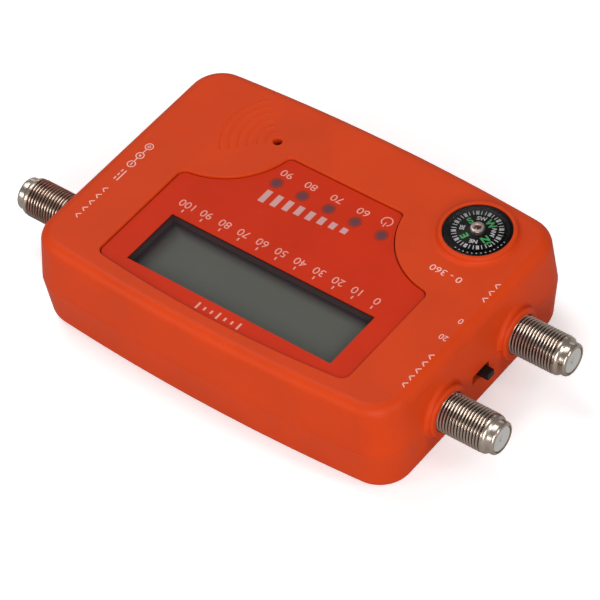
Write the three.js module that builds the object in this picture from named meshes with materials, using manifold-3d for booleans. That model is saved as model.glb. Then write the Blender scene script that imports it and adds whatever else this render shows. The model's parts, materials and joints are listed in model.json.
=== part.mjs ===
// Satellite signal meter: a hand-held orange case with a liquid-crystal display, five lamps, a button
// compass, three threaded coaxial sockets, an attenuator slide switch and a round power socket.
// Lengths are in millimetres. +X runs to the right as the face is read, +Y up the face and +Z out of it.
// The origin is the middle of the case on its underside.

import * as THREE from 'three';
import { mergeVertices } from 'three/addons/utils/BufferGeometryUtils.js';
import Module from 'manifold-3d';

const wasm = await Module();
wasm.setup();

// Case shell
const caseLength = 101.74;
const caseEndWidth = 70.3;
const sideBow = 1.71;
const cornerRadius = 8.5;
const faceHeight = 26.3;
const partingHeight = 12.65;
const topEdgeRadius = 3.4;
const bottomEdgeRadius = 3.5;
const leastFillet = 0.4;
const upperDraft = 0.76;
const lowerDraft = 0.8;
const wallThickness = 2;
const ceilingThickness = 2;
const floorThickness = 2;

// Clearances and the overrun of every cut
const turnedGap = 0.3;
const slideGap = 0.3;
const sideGap = 0.15;
const threadGap = 0.15;
const overrun = 1;

// Screw columns in the case corners
const columnRadius = 4;
const caseScrewShankRadius = 1.4;
const caseScrewHeadRadius = 2.5;
const caseScrewHeadHeight = 1.8;
const caseScrewLength = 15;
const counterboreDepth = 2.2;
const counterboreGap = 0.25;
const driveSlotWidth = 0.7;
const driveSlotDepth = 0.9;

// Small screws that hold the two boards
const boardScrewShankRadius = 1;
const boardScrewHeadRadius = 1.9;
const boardScrewHeadHeight = 1.3;
const boardScrewLength = 5.2;
const boardScrewEndRoom = 0.3;
const boardPostRadius = 2.6;

// Sunk field of the face and the label in it, set in from the case's edges
const fieldDepth = 0.8;
const fieldRightMargin = 17.27;
const fieldLeftMargin = 15.07;
const fieldBottomMargin = 16.65;
const fieldTopMargin = 6.25;
const fieldTopBow = 2;
const fieldCornerReach = 2;
const fieldLowCornerReach = 1.3;
const scallopRadius = 19.4;
const scallopMargin = 13.8;
const soundScallopMargin = 16.47;
const compassScallopMargin = 14.57;
const labelThickness = 0.25;

// Display, set in from the field's edges
const displayLeftMargin = 5.8;
const displayRightMargin = 6.8;
const displayTopMargin = 2.4;
const displayHeight = 16.3;
const windowThickness = 0.6;
const windowLap = 1.5;
const glassSunk = 2.7;
const glassLap = 2.6;
const glassThickness = 2.2;
const bezelWall = 1.2;
const backlightThickness = 2.5;
const stripWidth = 1.8;
const stripGap = 0.4;

// Lamps, in a row above the field's lower edge
const lampPitchShare = 0.228334;
const lampEndMargin = 2.21;
const lampRowRise = 8.08;
const lampRadius = 1.2;
const lampHoleGap = 0.15;
const lampFlangeRadius = 1.5;
const lampFlangeHeight = 0.8;
const lampBodyHeight = 4.4;
const lampSunk = 0.1;
const lampLegWidth = 0.5;
const lampLegSpread = 1.27;

// Sounder
const soundHoleEndMargin = 30.24;
const soundHoleSideMargin = 14.36;
const soundHoleRadius = 1.1;
const sounderRadius = 6;
const sounderTopGap = 0.4;
const sounderHoleRadius = 1;
const sounderHoleDepth = 2;

// Compass
const compassEndMargin = 16.27;
const compassSideMargin = 13.15;
const compassCupRadius = 8;
const compassCupWall = 0.7;
const compassCupFloor = 1;
const compassSocketGap = 2.3;
const compassRimRise = 1.3;
const compassSeatThickness = 1;
const collarWall = 1.1;
const collarRise = 1.7;
const collarFootWidth = 1.3;
const collarFootLedge = 0.2;
const collarFootRise = 0.12;
const collarFilletRise = 0.85;
const domeRise = 2.2;
const domeThickness = 0.5;
const domeSteps = 3;
const dialRadius = 6.1;
const dialThickness = 0.6;
const dialRise = 0.2;
const dialBoreRadius = 0.9;
const dialCapRadius = 1.6;
const dialCapRise = 0.8;
const dialCapSkin = 0.3;
const magnetLength = 9;
const magnetWidth = 2.6;
const magnetThickness = 0.9;
const northAngle = 155;
const needleRadius = 0.35;
const needlePointLength = 0.9;

// Places along the end walls, as shares of half the case's width
const antennaShare = -0.364154;
const satelliteShare = 0.409673;
const receiverShare = 0.406828;
const switchShare = 0.014794;
const powerShare = 0.056899;

// Threaded coaxial sockets
const leftSocketReach = 15.6;
const rightSocketReach = 17.6;
const threadRadius = 4.76;
const threadDepth = 0.42;
const threadPitch = 0.794;
const shoulderSetback = 2.4;
const shoulderChamfer = 0.45;
const noseBaseRadius = 4.25;
const noseRadius = 4;
const noseRound = 0.65;
const insulatorRadius = 3.1;
const insulatorGap = 0.15;
const insulatorSunk = 0.2;
const insulatorSkin = 0.8;
const contactRadius = 0.85;
const contactBoreRadius = 0.5;
const contactBoreDepth = 7;
const contactTail = 2;
const socketBlockDepth = 8;
const socketHoleGap = 0.38;
const socketCollarRise = 1.5;
const socketCollarFrontRadius = 6.5;
const socketCollarRootRadius = 7.9;

// Slide switch
const slotLength = 6.25;
const slotHeight = 2.7;
const sliderWidth = 2.5;
const sliderHeight = 1.7;
const sliderReach = 2.15;
const sliderTravel = 1.7;
const sliderShoeWidth = 5;
const sliderShoeDepth = 1.6;
const switchFrameLength = 9.2;
const switchFrameDepth = 4.3;
const switchFrameWall = 0.4;
const switchBaseThickness = 1;
const terminalWidth = 0.6;
const terminalPitch = 2.5;

// Power socket
const powerFaceRadius = 4;
const powerBodyWidth = 9;
const powerBodyDepth = 10.6;
const powerBoreRadius = 3.15;
const powerBoreDepth = 9.5;
const powerPinRadius = 1.05;
const powerPinSunk = 1.5;
const powerPinTail = 0.4;
const powerFaceSunk = 0.3;
const powerSpringThickness = 0.3;
const powerSpringWidth = 2;
const powerSpringLength = 6;

// Boards
const boardThickness = 1.6;
const boardSocketGap = 0.31;
const boardEdgeGap = 0.4;
const mainPostEndInset = 4.97;
const mainPostSideInset = 4.45;
const displayBoardLowMargin = 8.15;
const displayBoardHighMargin = 3.55;
const displayPostEndInset = 2.37;
const displayPostSideInset = 4;
const displayPostBezelGap = 3.15;
const displayPostCompassGap = 7.75;

// Places on the main board, as shares of half the case's length and width
const shieldShares = [-0.334185, -0.227596];
const controllerShares = [0.235895, -0.170697];
const crystalShares = [0.235895, 0.199147];
const regulatorShares = [0.609396, -0.369844];
const coilShares = [0.275211, 0.59744];
const trimmerShares = [-0.353843, 0.398293];
const pinStripShares = [-0.058974, 0.59744];
const capacitorSideShare = -0.682788;

// Parts on the main board: the tall ones rise to a share of the space under the display board
const shieldLength = 22;
const shieldWidth = 16;
const shieldRiseShare = 0.4;
const shieldWall = 0.3;
const tunerSide = 6;
const tunerHeight = 1;
const controllerSide = 10;
const controllerHeight = 1.4;
const controllerLegWidth = 0.4;
const controllerLegReach = 1;
const controllerLegPitch = 1.1;
const crystalLength = 11;
const crystalWidth = 4.6;
const crystalRiseShare = 0.4;
const regulatorLength = 6.5;
const regulatorWidth = 6;
const regulatorHeight = 2.3;
const coilRadius = 4;
const coilFlangeHeight = 0.8;
const coilWaistShare = 0.7;
const coilRiseShare = 0.5714;
const capacitorRadius = 3.2;
const capacitorRiseShare = 0.7429;
const capacitorBaseHeight = 0.7;
const capacitorGap = 1;
const trimmerSide = 6;
const trimmerRiseShare = 0.4;
const trimmerRotorRadius = 1.8;
const trimmerRotorRise = 0.6;

// Pin strip between the boards
const pinCount = 6;
const pinPitch = 2.54;
const pinWidth = 0.64;
const pinCarrierHeight = 2.5;

// Facet counts
const cornerSteps = 4;
const bowSteps = 6;
const edgeSteps = 3;
const bigSides = 32;
const roundSides = 20;
const smallSides = 12;
const tinySides = 8;
const threadSides = 16;
const scallopSteps = 9;
const filletSteps = 3;

// Values that follow from the sizes above
const halfLength = caseLength / 2;
const halfEndWidth = caseEndWidth / 2;
const columnX = halfLength - cornerRadius;
const columnY = halfEndWidth - cornerRadius;
const ceilingHeight = faceHeight - ceilingThickness;
const ceilingMiddle = faceHeight - ceilingThickness / 2;
const fieldFloor = faceHeight - fieldDepth;
const labelTop = fieldFloor + labelThickness;
const windowBottom = fieldFloor - windowThickness;
const glassTop = labelTop - glassSunk;
const glassBottom = glassTop - glassThickness;
const displayBoardFace = glassBottom - backlightThickness;
const displayBoardBack = displayBoardFace - boardThickness;
const innerWallDepth = wallThickness + Math.max(upperDraft, lowerDraft);
const innerWallX = halfLength - innerWallDepth;
const quarterTurn = Math.PI / 2;

// Sockets and switch along the end walls
const antennaSocketY = halfEndWidth * antennaShare;
const satelliteSocketY = halfEndWidth * satelliteShare;
const receiverSocketY = halfEndWidth * receiverShare;
const switchY = halfEndWidth * switchShare;
const powerY = halfEndWidth * powerShare;
const threadRoot = threadRadius - threadDepth;
const socketBore = threadRadius + socketHoleGap;
const mainBoardTop = partingHeight - threadRoot - boardSocketGap;
const mainBoardBottom = mainBoardTop - boardThickness;
const boardSpace = displayBoardBack - mainBoardTop;
const socketBlockHalf = partingHeight - mainBoardTop - turnedGap;
const powerBodyBack = innerWallX - turnedGap - powerBodyDepth;
const slotBottom = partingHeight - slotHeight;
const sliderMiddle = partingHeight - slotHeight / 2;

// Field, display and lamps
const fieldRight = halfLength - fieldRightMargin;
const fieldLeft = fieldLeftMargin - halfLength;
const fieldBottom = fieldBottomMargin - halfEndWidth;
const fieldTop = halfEndWidth - fieldTopMargin;
const scallopY = scallopMargin - halfEndWidth;
const soundScallopX = halfLength - soundScallopMargin;
const compassScallopX = compassScallopMargin - halfLength;
const scallopReach = Math.sqrt(scallopRadius ** 2 - (fieldBottom - scallopY) ** 2);
const fieldLowRight = soundScallopX - scallopReach;
const fieldLowLeft = compassScallopX + scallopReach;
const displayWidth = fieldRight - displayRightMargin - fieldLeft - displayLeftMargin;
const displayX = fieldLeft + displayLeftMargin + displayWidth / 2;
const displayY = fieldTop - displayTopMargin - displayHeight / 2;
const bezelBottom = displayY - displayHeight / 2 - glassLap - sideGap - bezelWall;
const lampPitch = (fieldLowRight - fieldLowLeft) * lampPitchShare;
const lampFirstX = fieldLowRight - lampEndMargin;
const lampY = fieldBottom + lampRowRise;
const soundHoleX = halfLength - soundHoleEndMargin;
const soundHoleY = soundHoleSideMargin - halfEndWidth;

// Compass
const compassX = compassEndMargin - halfLength;
const compassY = compassSideMargin - halfEndWidth;
const compassRim = faceHeight + compassRimRise;
const compassCupBottom = partingHeight + socketBlockHalf + compassSocketGap + compassSeatThickness;
const compassFloor = compassCupBottom + compassCupFloor;
const dialTop = compassRim + dialRise;
const collarInnerRadius = compassCupRadius + sideGap;
const collarOuterRadius = collarInnerRadius + collarWall;
const collarFootRadius = collarOuterRadius + collarFootWidth;

// Boards, their posts and what stands on them
const notchX = columnX - columnRadius - boardEdgeGap;
const notchY = columnY - columnRadius - boardEdgeGap;
const mainBoardHalfLength = halfLength - wallThickness - lowerDraft - boardEdgeGap;
const mainBoardHalfWidth = halfEndWidth - wallThickness - lowerDraft - boardEdgeGap;
const mainPostX = notchX - mainPostEndInset;
const mainPostY = mainBoardHalfWidth - mainPostSideInset;
const displayBoardHalfLength = powerBodyBack - powerPinTail - boardEdgeGap;
const displayBoardBottom = displayBoardLowMargin - halfEndWidth;
const displayBoardTop = halfEndWidth - displayBoardHighMargin;
const displayPostX = displayBoardHalfLength - displayPostEndInset;
const displayPostHighY = bezelBottom - boardPostRadius - displayPostBezelGap;
const displayPostLowY = displayBoardBottom + displayPostSideInset;
const displayPostInnerX = compassX + collarOuterRadius + boardPostRadius + displayPostCompassGap;
const shieldHeight = boardSpace * shieldRiseShare;
const crystalHeight = boardSpace * crystalRiseShare;
const coilHeight = boardSpace * coilRiseShare;
const capacitorHeight = boardSpace * capacitorRiseShare;
const trimmerHeight = boardSpace * trimmerRiseShare;
const onCaseShares = ([along, across]) => [halfLength * along, halfEndWidth * across];
const [shieldX, shieldY] = onCaseShares(shieldShares);
const [controllerX, controllerY] = onCaseShares(controllerShares);
const [crystalX, crystalY] = onCaseShares(crystalShares);
const [regulatorX, regulatorY] = onCaseShares(regulatorShares);
const [coilX, coilY] = onCaseShares(coilShares);
const [trimmerX, trimmerY] = onCaseShares(trimmerShares);
const [stripX, stripY] = onCaseShares(pinStripShares);
const capacitorY = halfEndWidth * capacitorSideShare;
const inputCapacitorX = mainPostX - boardScrewHeadRadius - capacitorGap - capacitorRadius;
const outputCapacitorX = inputCapacitorX - 2 * capacitorRadius - capacitorGap;

// Materials
function finish(color, roughness, metalness, options = {}) {
  return new THREE.MeshStandardMaterial({ color, roughness, metalness, ...options });
}
const clearLook = { transparent: true, opacity: 0.35 };
const caseOrange = finish(0xd2421c, 0.5, 0);
const labelRed = finish(0xc43018, 0.4, 0);
const clearPlastic = finish(0xf4f6f6, 0.08, 0, clearLook);
const bezelBlack = finish(0x2c2a2a, 0.6, 0);
const displayGrey = finish(0x6b6c62, 0.3, 0);
const diffuserWhite = finish(0xe6e8e2, 0.5, 0);
const rubberGrey = finish(0x3b3b3f, 0.8, 0);
const boardGreen = finish(0x1e5a35, 0.55, 0);
const lampViolet = finish(0x584048, 0.3, 0);
const matteBlack = finish(0x161617, 0.6, 0);
const dialBlack = finish(0x101215, 0.7, 0);
const nickel = finish(0xc9c2ba, 0.28, 1);
const steel = finish(0x9c9ea1, 0.35, 1);
const copperPink = finish(0xcfa79b, 0.3, 1);
const goldContact = finish(0xc9a45a, 0.3, 1);
const insulatorWhite = finish(0xd8d6d3, 0.5, 0);
const phenolicBrown = finish(0x7a4f2c, 0.7, 0);
const ferriteGrey = finish(0x4a4a4d, 0.7, 0);
const capacitorBlue = finish(0x2b3c6b, 0.4, 0);

const meter = new THREE.Group();

// Closed geometry: vertices merged, flat triangles dropped and faces turned outwards
function closed(geometry) {
  const bare = new THREE.BufferGeometry();
  bare.setAttribute('position', geometry.getAttribute('position').clone());
  if (geometry.index) {
    bare.setIndex(geometry.index.clone());
  }
  const merged = mergeVertices(bare);
  const place = merged.getAttribute('position');
  const index = merged.index.array;
  const a = new THREE.Vector3();
  const b = new THREE.Vector3();
  const c = new THREE.Vector3();
  const kept = [];
  let sixVolumes = 0;
  for (let i = 0; i < index.length; i += 3) {
    const [p, q, r] = [index[i], index[i + 1], index[i + 2]];
    if (p === q || q === r || r === p) {
      continue;
    }
    a.fromBufferAttribute(place, p);
    b.fromBufferAttribute(place, q);
    c.fromBufferAttribute(place, r);
    sixVolumes += a.dot(b.cross(c));
    kept.push(p, q, r);
  }
  if (sixVolumes < 0) {
    kept.reverse();
  }
  merged.setIndex(kept);
  return merged;
}

// Conversions to and from a solid of the boolean library
function solid(geometry) {
  const shut = closed(geometry);
  const vertProperties = new Float32Array(shut.getAttribute('position').array);
  const triVerts = new Uint32Array(shut.index.array);
  return new wasm.Manifold(new wasm.Mesh({ numProp: 3, vertProperties, triVerts }));
}

function geometryOf(body) {
  const mesh = body.getMesh();
  const geometry = new THREE.BufferGeometry();
  geometry.setAttribute('position', new THREE.BufferAttribute(mesh.vertProperties, 3));
  geometry.setIndex(new THREE.BufferAttribute(mesh.triVerts, 1));
  return geometry;
}

function join(bodies) {
  return bodies.reduce((whole, body) => whole.add(body));
}

function cut(body, tools) {
  return tools.reduce((whole, tool) => whole.subtract(tool), body);
}

// Basic forms, each as a geometry in place
function block(x0, x1, y0, y1, z0, z1) {
  const box = new THREE.BoxGeometry(x1 - x0, y1 - y0, z1 - z0);
  return box.translate((x0 + x1) / 2, (y0 + y1) / 2, (z0 + z1) / 2);
}

function blockAt(x, y, length, width, z0, z1) {
  return block(x - length / 2, x + length / 2, y - width / 2, y + width / 2, z0, z1);
}

function post(x, y, radius, z0, z1, sides = smallSides) {
  const rod = new THREE.CylinderGeometry(radius, radius, z1 - z0, sides);
  return rod.rotateX(quarterTurn).translate(x, y, (z0 + z1) / 2);
}

function turned(profile, sides = roundSides) {
  const points = profile.map(([radius, height]) => new THREE.Vector2(radius, height));
  return new THREE.LatheGeometry(points, sides).rotateX(quarterTurn);
}

function slab(points, z0, z1) {
  const shape = new THREE.Shape(points);
  const body = new THREE.ExtrudeGeometry(shape, { depth: z1 - z0, bevelEnabled: false });
  return body.translate(0, 0, z0);
}

function arc(x, y, radius, from, to, steps) {
  const points = [];
  for (let i = 0; i <= steps; i += 1) {
    const angle = from + ((to - from) * i) / steps;
    points.push(new THREE.Vector2(x + radius * Math.cos(angle), y + radius * Math.sin(angle)));
  }
  return points;
}

// A rounded corner as a curve pulled towards the sharp corner point
function softCorner(before, corner, after) {
  return new THREE.QuadraticBezierCurve(before, corner, after).getPoints(filletSteps);
}

function withoutRepeats(points) {
  const kept = [];
  for (const point of points) {
    const last = kept[kept.length - 1];
    if (!last || last.distanceTo(point) > sideGap / 10) {
      kept.push(point);
    }
  }
  if (kept[0].distanceTo(kept[kept.length - 1]) < sideGap / 10) {
    kept.pop();
  }
  return kept;
}

// An anticlockwise outline drawn in by a distance, with mitred corners
function drawnIn(points, distance) {
  return points.map((point, i) => {
    const before = points[(i + points.length - 1) % points.length];
    const after = points[(i + 1) % points.length];
    const inEdge = point.clone().sub(before).normalize();
    const outEdge = after.clone().sub(point).normalize();
    const inNormal = new THREE.Vector2(-inEdge.y, inEdge.x);
    const outNormal = new THREE.Vector2(-outEdge.y, outEdge.x);
    const middle = inNormal.clone().add(outNormal).normalize();
    return point.clone().addScaledVector(middle, distance / middle.dot(outNormal));
  });
}

// One named sub-part, placed in a group
function addPart(name, body, material, place = [0, 0, 0], home = meter) {
  const geometry = body instanceof THREE.BufferGeometry ? closed(body) : geometryOf(body);
  const mesh = new THREE.Mesh(geometry, material.clone());
  mesh.name = name;
  mesh.position.set(...place);
  home.add(mesh);
  return mesh;
}

// Case outline at the parting plane: straight ends, round corners and gently bowed long sides
function caseOutline() {
  const bowRadius = (columnX * columnX + sideBow * sideBow) / (2 * sideBow);
  const lean = Math.asin(columnX / bowRadius);
  const bowCentre = columnY + sideBow - bowRadius;
  const reach = bowRadius + cornerRadius;
  const upper = [
    ...arc(columnX, columnY, cornerRadius, 0, quarterTurn - lean, cornerSteps),
    ...arc(0, bowCentre, reach, quarterTurn - lean, quarterTurn + lean, bowSteps),
    ...arc(-columnX, columnY, cornerRadius, quarterTurn + lean, Math.PI, cornerSteps),
  ];
  const lower = upper.map((point) => new THREE.Vector2(-point.x, -point.y));
  return withoutRepeats([...upper, ...lower]);
}

// A case-shaped body from z0 to z1 whose rounded ends lie past one of them
function caseBody(inset, radius, z0, z1) {
  const shape = new THREE.Shape(drawnIn(caseOutline(), inset));
  const body = new THREE.ExtrudeGeometry(shape, {
    depth: z1 - z0 - 2 * radius,
    bevelThickness: radius,
    bevelSize: radius,
    bevelOffset: -radius,
    bevelSegments: edgeSteps,
  });
  return body.translate(0, 0, z0 + radius);
}

// Mould draft: straight walls keep the outline's full size at one height and lean in until another
function drafted(geometry, fromZ, toZ, inset) {
  const place = geometry.getAttribute('position');
  for (let i = 0; i < place.count; i += 1) {
    const along = Math.min((place.getZ(i) - fromZ) / (toZ - fromZ), 1);
    place.setX(i, place.getX(i) * (1 - (inset * along) / halfLength));
    place.setY(i, place.getY(i) * (1 - (inset * along) / halfEndWidth));
  }
  return geometry;
}

// Space above or below the parting plane, used to keep one half of a form
function halfSpace(above) {
  const far = caseLength;
  const [z0, z1] = above ? [partingHeight, partingHeight + far] : [partingHeight - far, partingHeight];
  return solid(block(-far, far, -far, far, z0, z1));
}

// Outline of the sunk field: two scallops leave room for the compass and the sound rings
function fieldOutline() {
  const point = (x, y) => new THREE.Vector2(x, y);
  const fieldMiddle = (fieldRight + fieldLeft) / 2;
  const halfField = (fieldRight - fieldLeft) / 2;
  const topRadius = (halfField * halfField + fieldTopBow * fieldTopBow) / (2 * fieldTopBow);
  const topCentre = fieldTop + fieldTopBow - topRadius;
  const topLean = Math.asin(halfField / topRadius);
  const topReach = fieldCornerReach / topRadius;
  const highReach = fieldCornerReach / scallopRadius;
  const lowReach = fieldLowCornerReach / scallopRadius;
  const lowAngle = Math.asin((fieldBottom - scallopY) / scallopRadius);
  const soundLow = Math.PI - lowAngle;
  const soundHigh = Math.acos((fieldRight - soundScallopX) / scallopRadius);
  const compassHigh = Math.acos((fieldLeft - compassScallopX) / scallopRadius);
  const compassLow = lowAngle;
  const soundPoint = (angle) => arc(soundScallopX, scallopY, scallopRadius, angle, angle, 1)[0];
  const compassPoint = (angle) => arc(compassScallopX, scallopY, scallopRadius, angle, angle, 1)[0];
  const topPoint = (angle) => arc(fieldMiddle, topCentre, topRadius, angle, angle, 1)[0];
  const bottomRight = soundPoint(soundLow);
  const bottomLeft = compassPoint(compassLow);
  const lowRight = soundPoint(soundHigh);
  const lowLeft = compassPoint(compassHigh);
  const topRight = topPoint(quarterTurn - topLean);
  const topLeft = topPoint(quarterTurn + topLean);
  return withoutRepeats([
    ...softCorner(
      point(bottomRight.x - fieldLowCornerReach, fieldBottom),
      bottomRight,
      soundPoint(soundLow - lowReach),
    ),
    ...arc(
      soundScallopX,
      scallopY,
      scallopRadius,
      soundLow - lowReach,
      soundHigh + highReach,
      scallopSteps,
    ),
    ...softCorner(
      soundPoint(soundHigh + highReach),
      lowRight,
      point(fieldRight, lowRight.y + fieldCornerReach),
    ),
    ...softCorner(
      point(fieldRight, topRight.y - fieldCornerReach),
      topRight,
      topPoint(quarterTurn - topLean + topReach),
    ),
    ...arc(
      fieldMiddle,
      topCentre,
      topRadius,
      quarterTurn - topLean + topReach,
      quarterTurn + topLean - topReach,
      scallopSteps,
    ),
    ...softCorner(
      topPoint(quarterTurn + topLean - topReach),
      topLeft,
      point(fieldLeft, topLeft.y - fieldCornerReach),
    ),
    ...softCorner(
      point(fieldLeft, lowLeft.y + fieldCornerReach),
      lowLeft,
      compassPoint(compassHigh - highReach),
    ),
    ...arc(
      compassScallopX,
      scallopY,
      scallopRadius,
      compassHigh - highReach,
      compassLow + lowReach,
      scallopSteps,
    ),
    ...softCorner(
      compassPoint(compassLow + lowReach),
      bottomLeft,
      point(bottomLeft.x + fieldLowCornerReach, fieldBottom),
    ),
  ]);
}

// The three sockets and what each one needs to know of its place
const sockets = [
  { name: 'antenna', y: antennaSocketY, side: -1, reach: leftSocketReach },
  { name: 'satellite', y: satelliteSocketY, side: -1, reach: leftSocketReach },
  { name: 'receiver', y: receiverSocketY, side: 1, reach: rightSocketReach },
];

// A form turned about the +Z line, laid along +X or -X from the end wall of the case
function laidAlong(geometry, side, y) {
  return geometry.rotateY(side * quarterTurn).translate(side * halfLength, y, partingHeight);
}

// Rounded collar on the end wall that a socket comes out of
function socketCollar(socket) {
  const root = -wallThickness / 2;
  const bendSteps = 3;
  const profile = [[0, root], [socketCollarRootRadius, root]];
  const rise = socketCollarRise / 2;
  const spread = socketCollarRootRadius - socketCollarFrontRadius;
  for (let i = 0; i <= bendSteps; i += 1) {
    const angle = (quarterTurn * i) / bendSteps;
    profile.push([
      socketCollarRootRadius - spread * Math.sin(angle),
      rise * (1 - Math.cos(angle)),
    ]);
  }
  for (let i = 1; i <= bendSteps; i += 1) {
    const angle = (quarterTurn * i) / bendSteps;
    profile.push([
      socketCollarFrontRadius - rise * (1 - Math.cos(angle)),
      rise + rise * Math.sin(angle),
    ]);
  }
  profile.push([0, socketCollarRise]);
  return solid(laidAlong(turned(profile), socket.side, socket.y));
}

function socketHole(socket) {
  const reach = wallThickness + socketCollarRise + 2 * overrun;
  const tool = post(0, 0, socketBore, -wallThickness - overrun, reach, roundSides);
  return solid(laidAlong(tool, socket.side, socket.y));
}

// Hole of the power socket and slot of the switch, shared by both case halves
function powerHole() {
  const radius = powerFaceRadius + sideGap;
  const tool = post(0, 0, radius, -wallThickness - overrun, overrun, roundSides);
  return solid(laidAlong(tool, 1, powerY));
}

function switchSlot() {
  const y0 = switchY - slotLength / 2;
  const outside = -halfLength - overrun;
  return solid(block(outside, -innerWallX + overrun, y0, y0 + slotLength, slotBottom, partingHeight));
}

// Columns and posts stand in pairs about both middle lines
function fourCorners(x, y) {
  return [[-x, -y], [x, -y], [x, y], [-x, y]];
}

const caseScrewPlaces = fourCorners(columnX, columnY);
const mainPostPlaces = fourCorners(mainPostX, mainPostY);
const displayPostPlaces = [
  [-displayPostX, displayPostHighY],
  [displayPostX, displayPostHighY],
  [displayPostX, displayPostLowY],
  [displayPostInnerX, displayPostLowY],
];

// Upper case half
function upperHousing() {
  const outer = drafted(
    caseBody(0, topEdgeRadius, -faceHeight, faceHeight),
    partingHeight,
    faceHeight - topEdgeRadius,
    upperDraft,
  );
  const innerRadius = Math.max(topEdgeRadius - wallThickness, leastFillet);
  const inner = drafted(
    caseBody(wallThickness, innerRadius, -faceHeight, ceilingHeight),
    partingHeight,
    faceHeight - topEdgeRadius,
    upperDraft,
  );
  const below = halfSpace(false);
  const collarTop = faceHeight + collarRise;
  const collarRound = collarWall / 2;
  const collarMiddle = collarInnerRadius + collarRound;
  const footTop = faceHeight + collarFootRise;
  const collar = [[0, ceilingHeight], [collarFootRadius, ceilingHeight], [collarFootRadius, footTop]];
  const foot = softCorner(
    new THREE.Vector2(collarFootRadius - collarFootLedge, footTop),
    new THREE.Vector2(collarOuterRadius, footTop),
    new THREE.Vector2(collarOuterRadius, footTop + collarFilletRise),
  );
  collar.push(...foot.map((point) => [point.x, point.y]));
  for (const point of arc(0, collarTop - collarRound, collarRound, 0, quarterTurn, filletSteps)) {
    collar.push([collarMiddle + point.x, point.y]);
  }
  collar.push([0, collarTop]);
  const well = compassCupBottom - compassSeatThickness;
  const parts = [
    cut(solid(outer), [solid(inner), below]),
    solid(turned(collar, bigSides).translate(compassX, compassY, 0)),
    solid(post(compassX, compassY, collarOuterRadius, well, faceHeight, bigSides)),
    ...sockets.map((socket) => socketCollar(socket).subtract(below)),
    ...caseScrewPlaces.map(([x, y]) => solid(post(x, y, columnRadius, partingHeight, ceilingMiddle))),
    ...displayPostPlaces.map(([x, y]) => (
      solid(post(x, y, boardPostRadius, displayBoardFace, ceilingMiddle))
    )),
  ];
  const pilotTop = counterboreDepth + caseScrewLength + overrun;
  const windowHalf = [displayWidth / 2 + windowLap, displayHeight / 2 + windowLap];
  const tools = [
    solid(slab(fieldOutline(), fieldFloor, faceHeight + overrun)),
    solid(blockAt(displayX, displayY, displayWidth, displayHeight, ceilingHeight - overrun, faceHeight)),
    solid(blockAt(displayX, displayY, 2 * windowHalf[0], 2 * windowHalf[1], windowBottom, faceHeight)),
    solid(post(soundHoleX, soundHoleY, soundHoleRadius, ceilingHeight - overrun, faceHeight + overrun)),
    solid(post(compassX, compassY, collarInnerRadius, compassCupBottom, collarTop + overrun, bigSides)),
    ...lampPlaces.map(([x, y]) => (
      solid(post(x, y, lampRadius + lampHoleGap, ceilingHeight - overrun, faceHeight, smallSides))
    )),
    ...sockets.map(socketHole),
    powerHole(),
    ...caseScrewPlaces.map(([x, y]) => (
      solid(post(x, y, caseScrewShankRadius + threadGap, partingHeight - overrun, pilotTop))
    )),
    ...displayPostPlaces.map(([x, y]) => (
      solid(post(x, y, boardScrewShankRadius + threadGap, displayBoardFace - overrun, displayPilotTop))
    )),
  ];
  return cut(join(parts), tools);
}

// Lower case half
function lowerHousing() {
  const tall = 2 * faceHeight;
  const outer = drafted(
    caseBody(0, bottomEdgeRadius, 0, tall),
    partingHeight,
    bottomEdgeRadius,
    lowerDraft,
  );
  const innerRadius = Math.max(bottomEdgeRadius - wallThickness, leastFillet);
  const inner = drafted(
    caseBody(wallThickness, innerRadius, floorThickness, tall),
    partingHeight,
    bottomEdgeRadius,
    lowerDraft,
  );
  const above = halfSpace(true);
  const parts = [
    cut(solid(outer), [solid(inner), above]),
    ...sockets.map((socket) => socketCollar(socket).subtract(above)),
    ...caseScrewPlaces.map(([x, y]) => solid(post(x, y, columnRadius, floorThickness / 2, partingHeight))),
    ...mainPostPlaces.map(([x, y]) => solid(post(x, y, boardPostRadius, floorThickness / 2, mainBoardBottom))),
  ];
  const headHole = caseScrewHeadRadius + counterboreGap;
  const mainPilotBottom = mainBoardTop - boardScrewLength - boardScrewEndRoom;
  const tools = [
    ...sockets.map(socketHole),
    powerHole(),
    switchSlot(),
    ...caseScrewPlaces.map(([x, y]) => solid(post(x, y, headHole, -overrun, counterboreDepth))),
    ...caseScrewPlaces.map(([x, y]) => (
      solid(post(x, y, caseScrewShankRadius + sideGap + threadGap, 0, partingHeight + overrun))
    )),
    ...mainPostPlaces.map(([x, y]) => (
      solid(post(x, y, boardScrewShankRadius + threadGap, mainPilotBottom, mainBoardBottom + overrun))
    )),
  ];
  return cut(join(parts), tools);
}

// A pan-head screw with a driver slot, head below and shank upwards, its head's seat at height zero
function upScrew(shankRadius, headRadius, headHeight, length) {
  const round = headHeight / 3;
  const profile = [
    [0, -headHeight],
    [headRadius - round, -headHeight],
    [headRadius, round - headHeight],
    [headRadius, 0],
    [shankRadius, 0],
    [shankRadius, length - shankRadius],
    [0, length],
  ];
  const slot = blockAt(0, 0, 4 * headRadius, driveSlotWidth, -2 * headHeight, driveSlotDepth - headHeight);
  return cut(solid(turned(profile, smallSides)), [solid(slot)]);
}

// Lamps, named for the level that each one shows
const lampNames = ['lamp_90', 'lamp_80', 'lamp_70', 'lamp_60', 'lamp_power'];
const lampPlaces = lampNames.map((name, i) => [lampFirstX - i * lampPitch, lampY]);
const displayPilotTop = displayBoardBack + boardScrewLength + boardScrewEndRoom;

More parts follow.
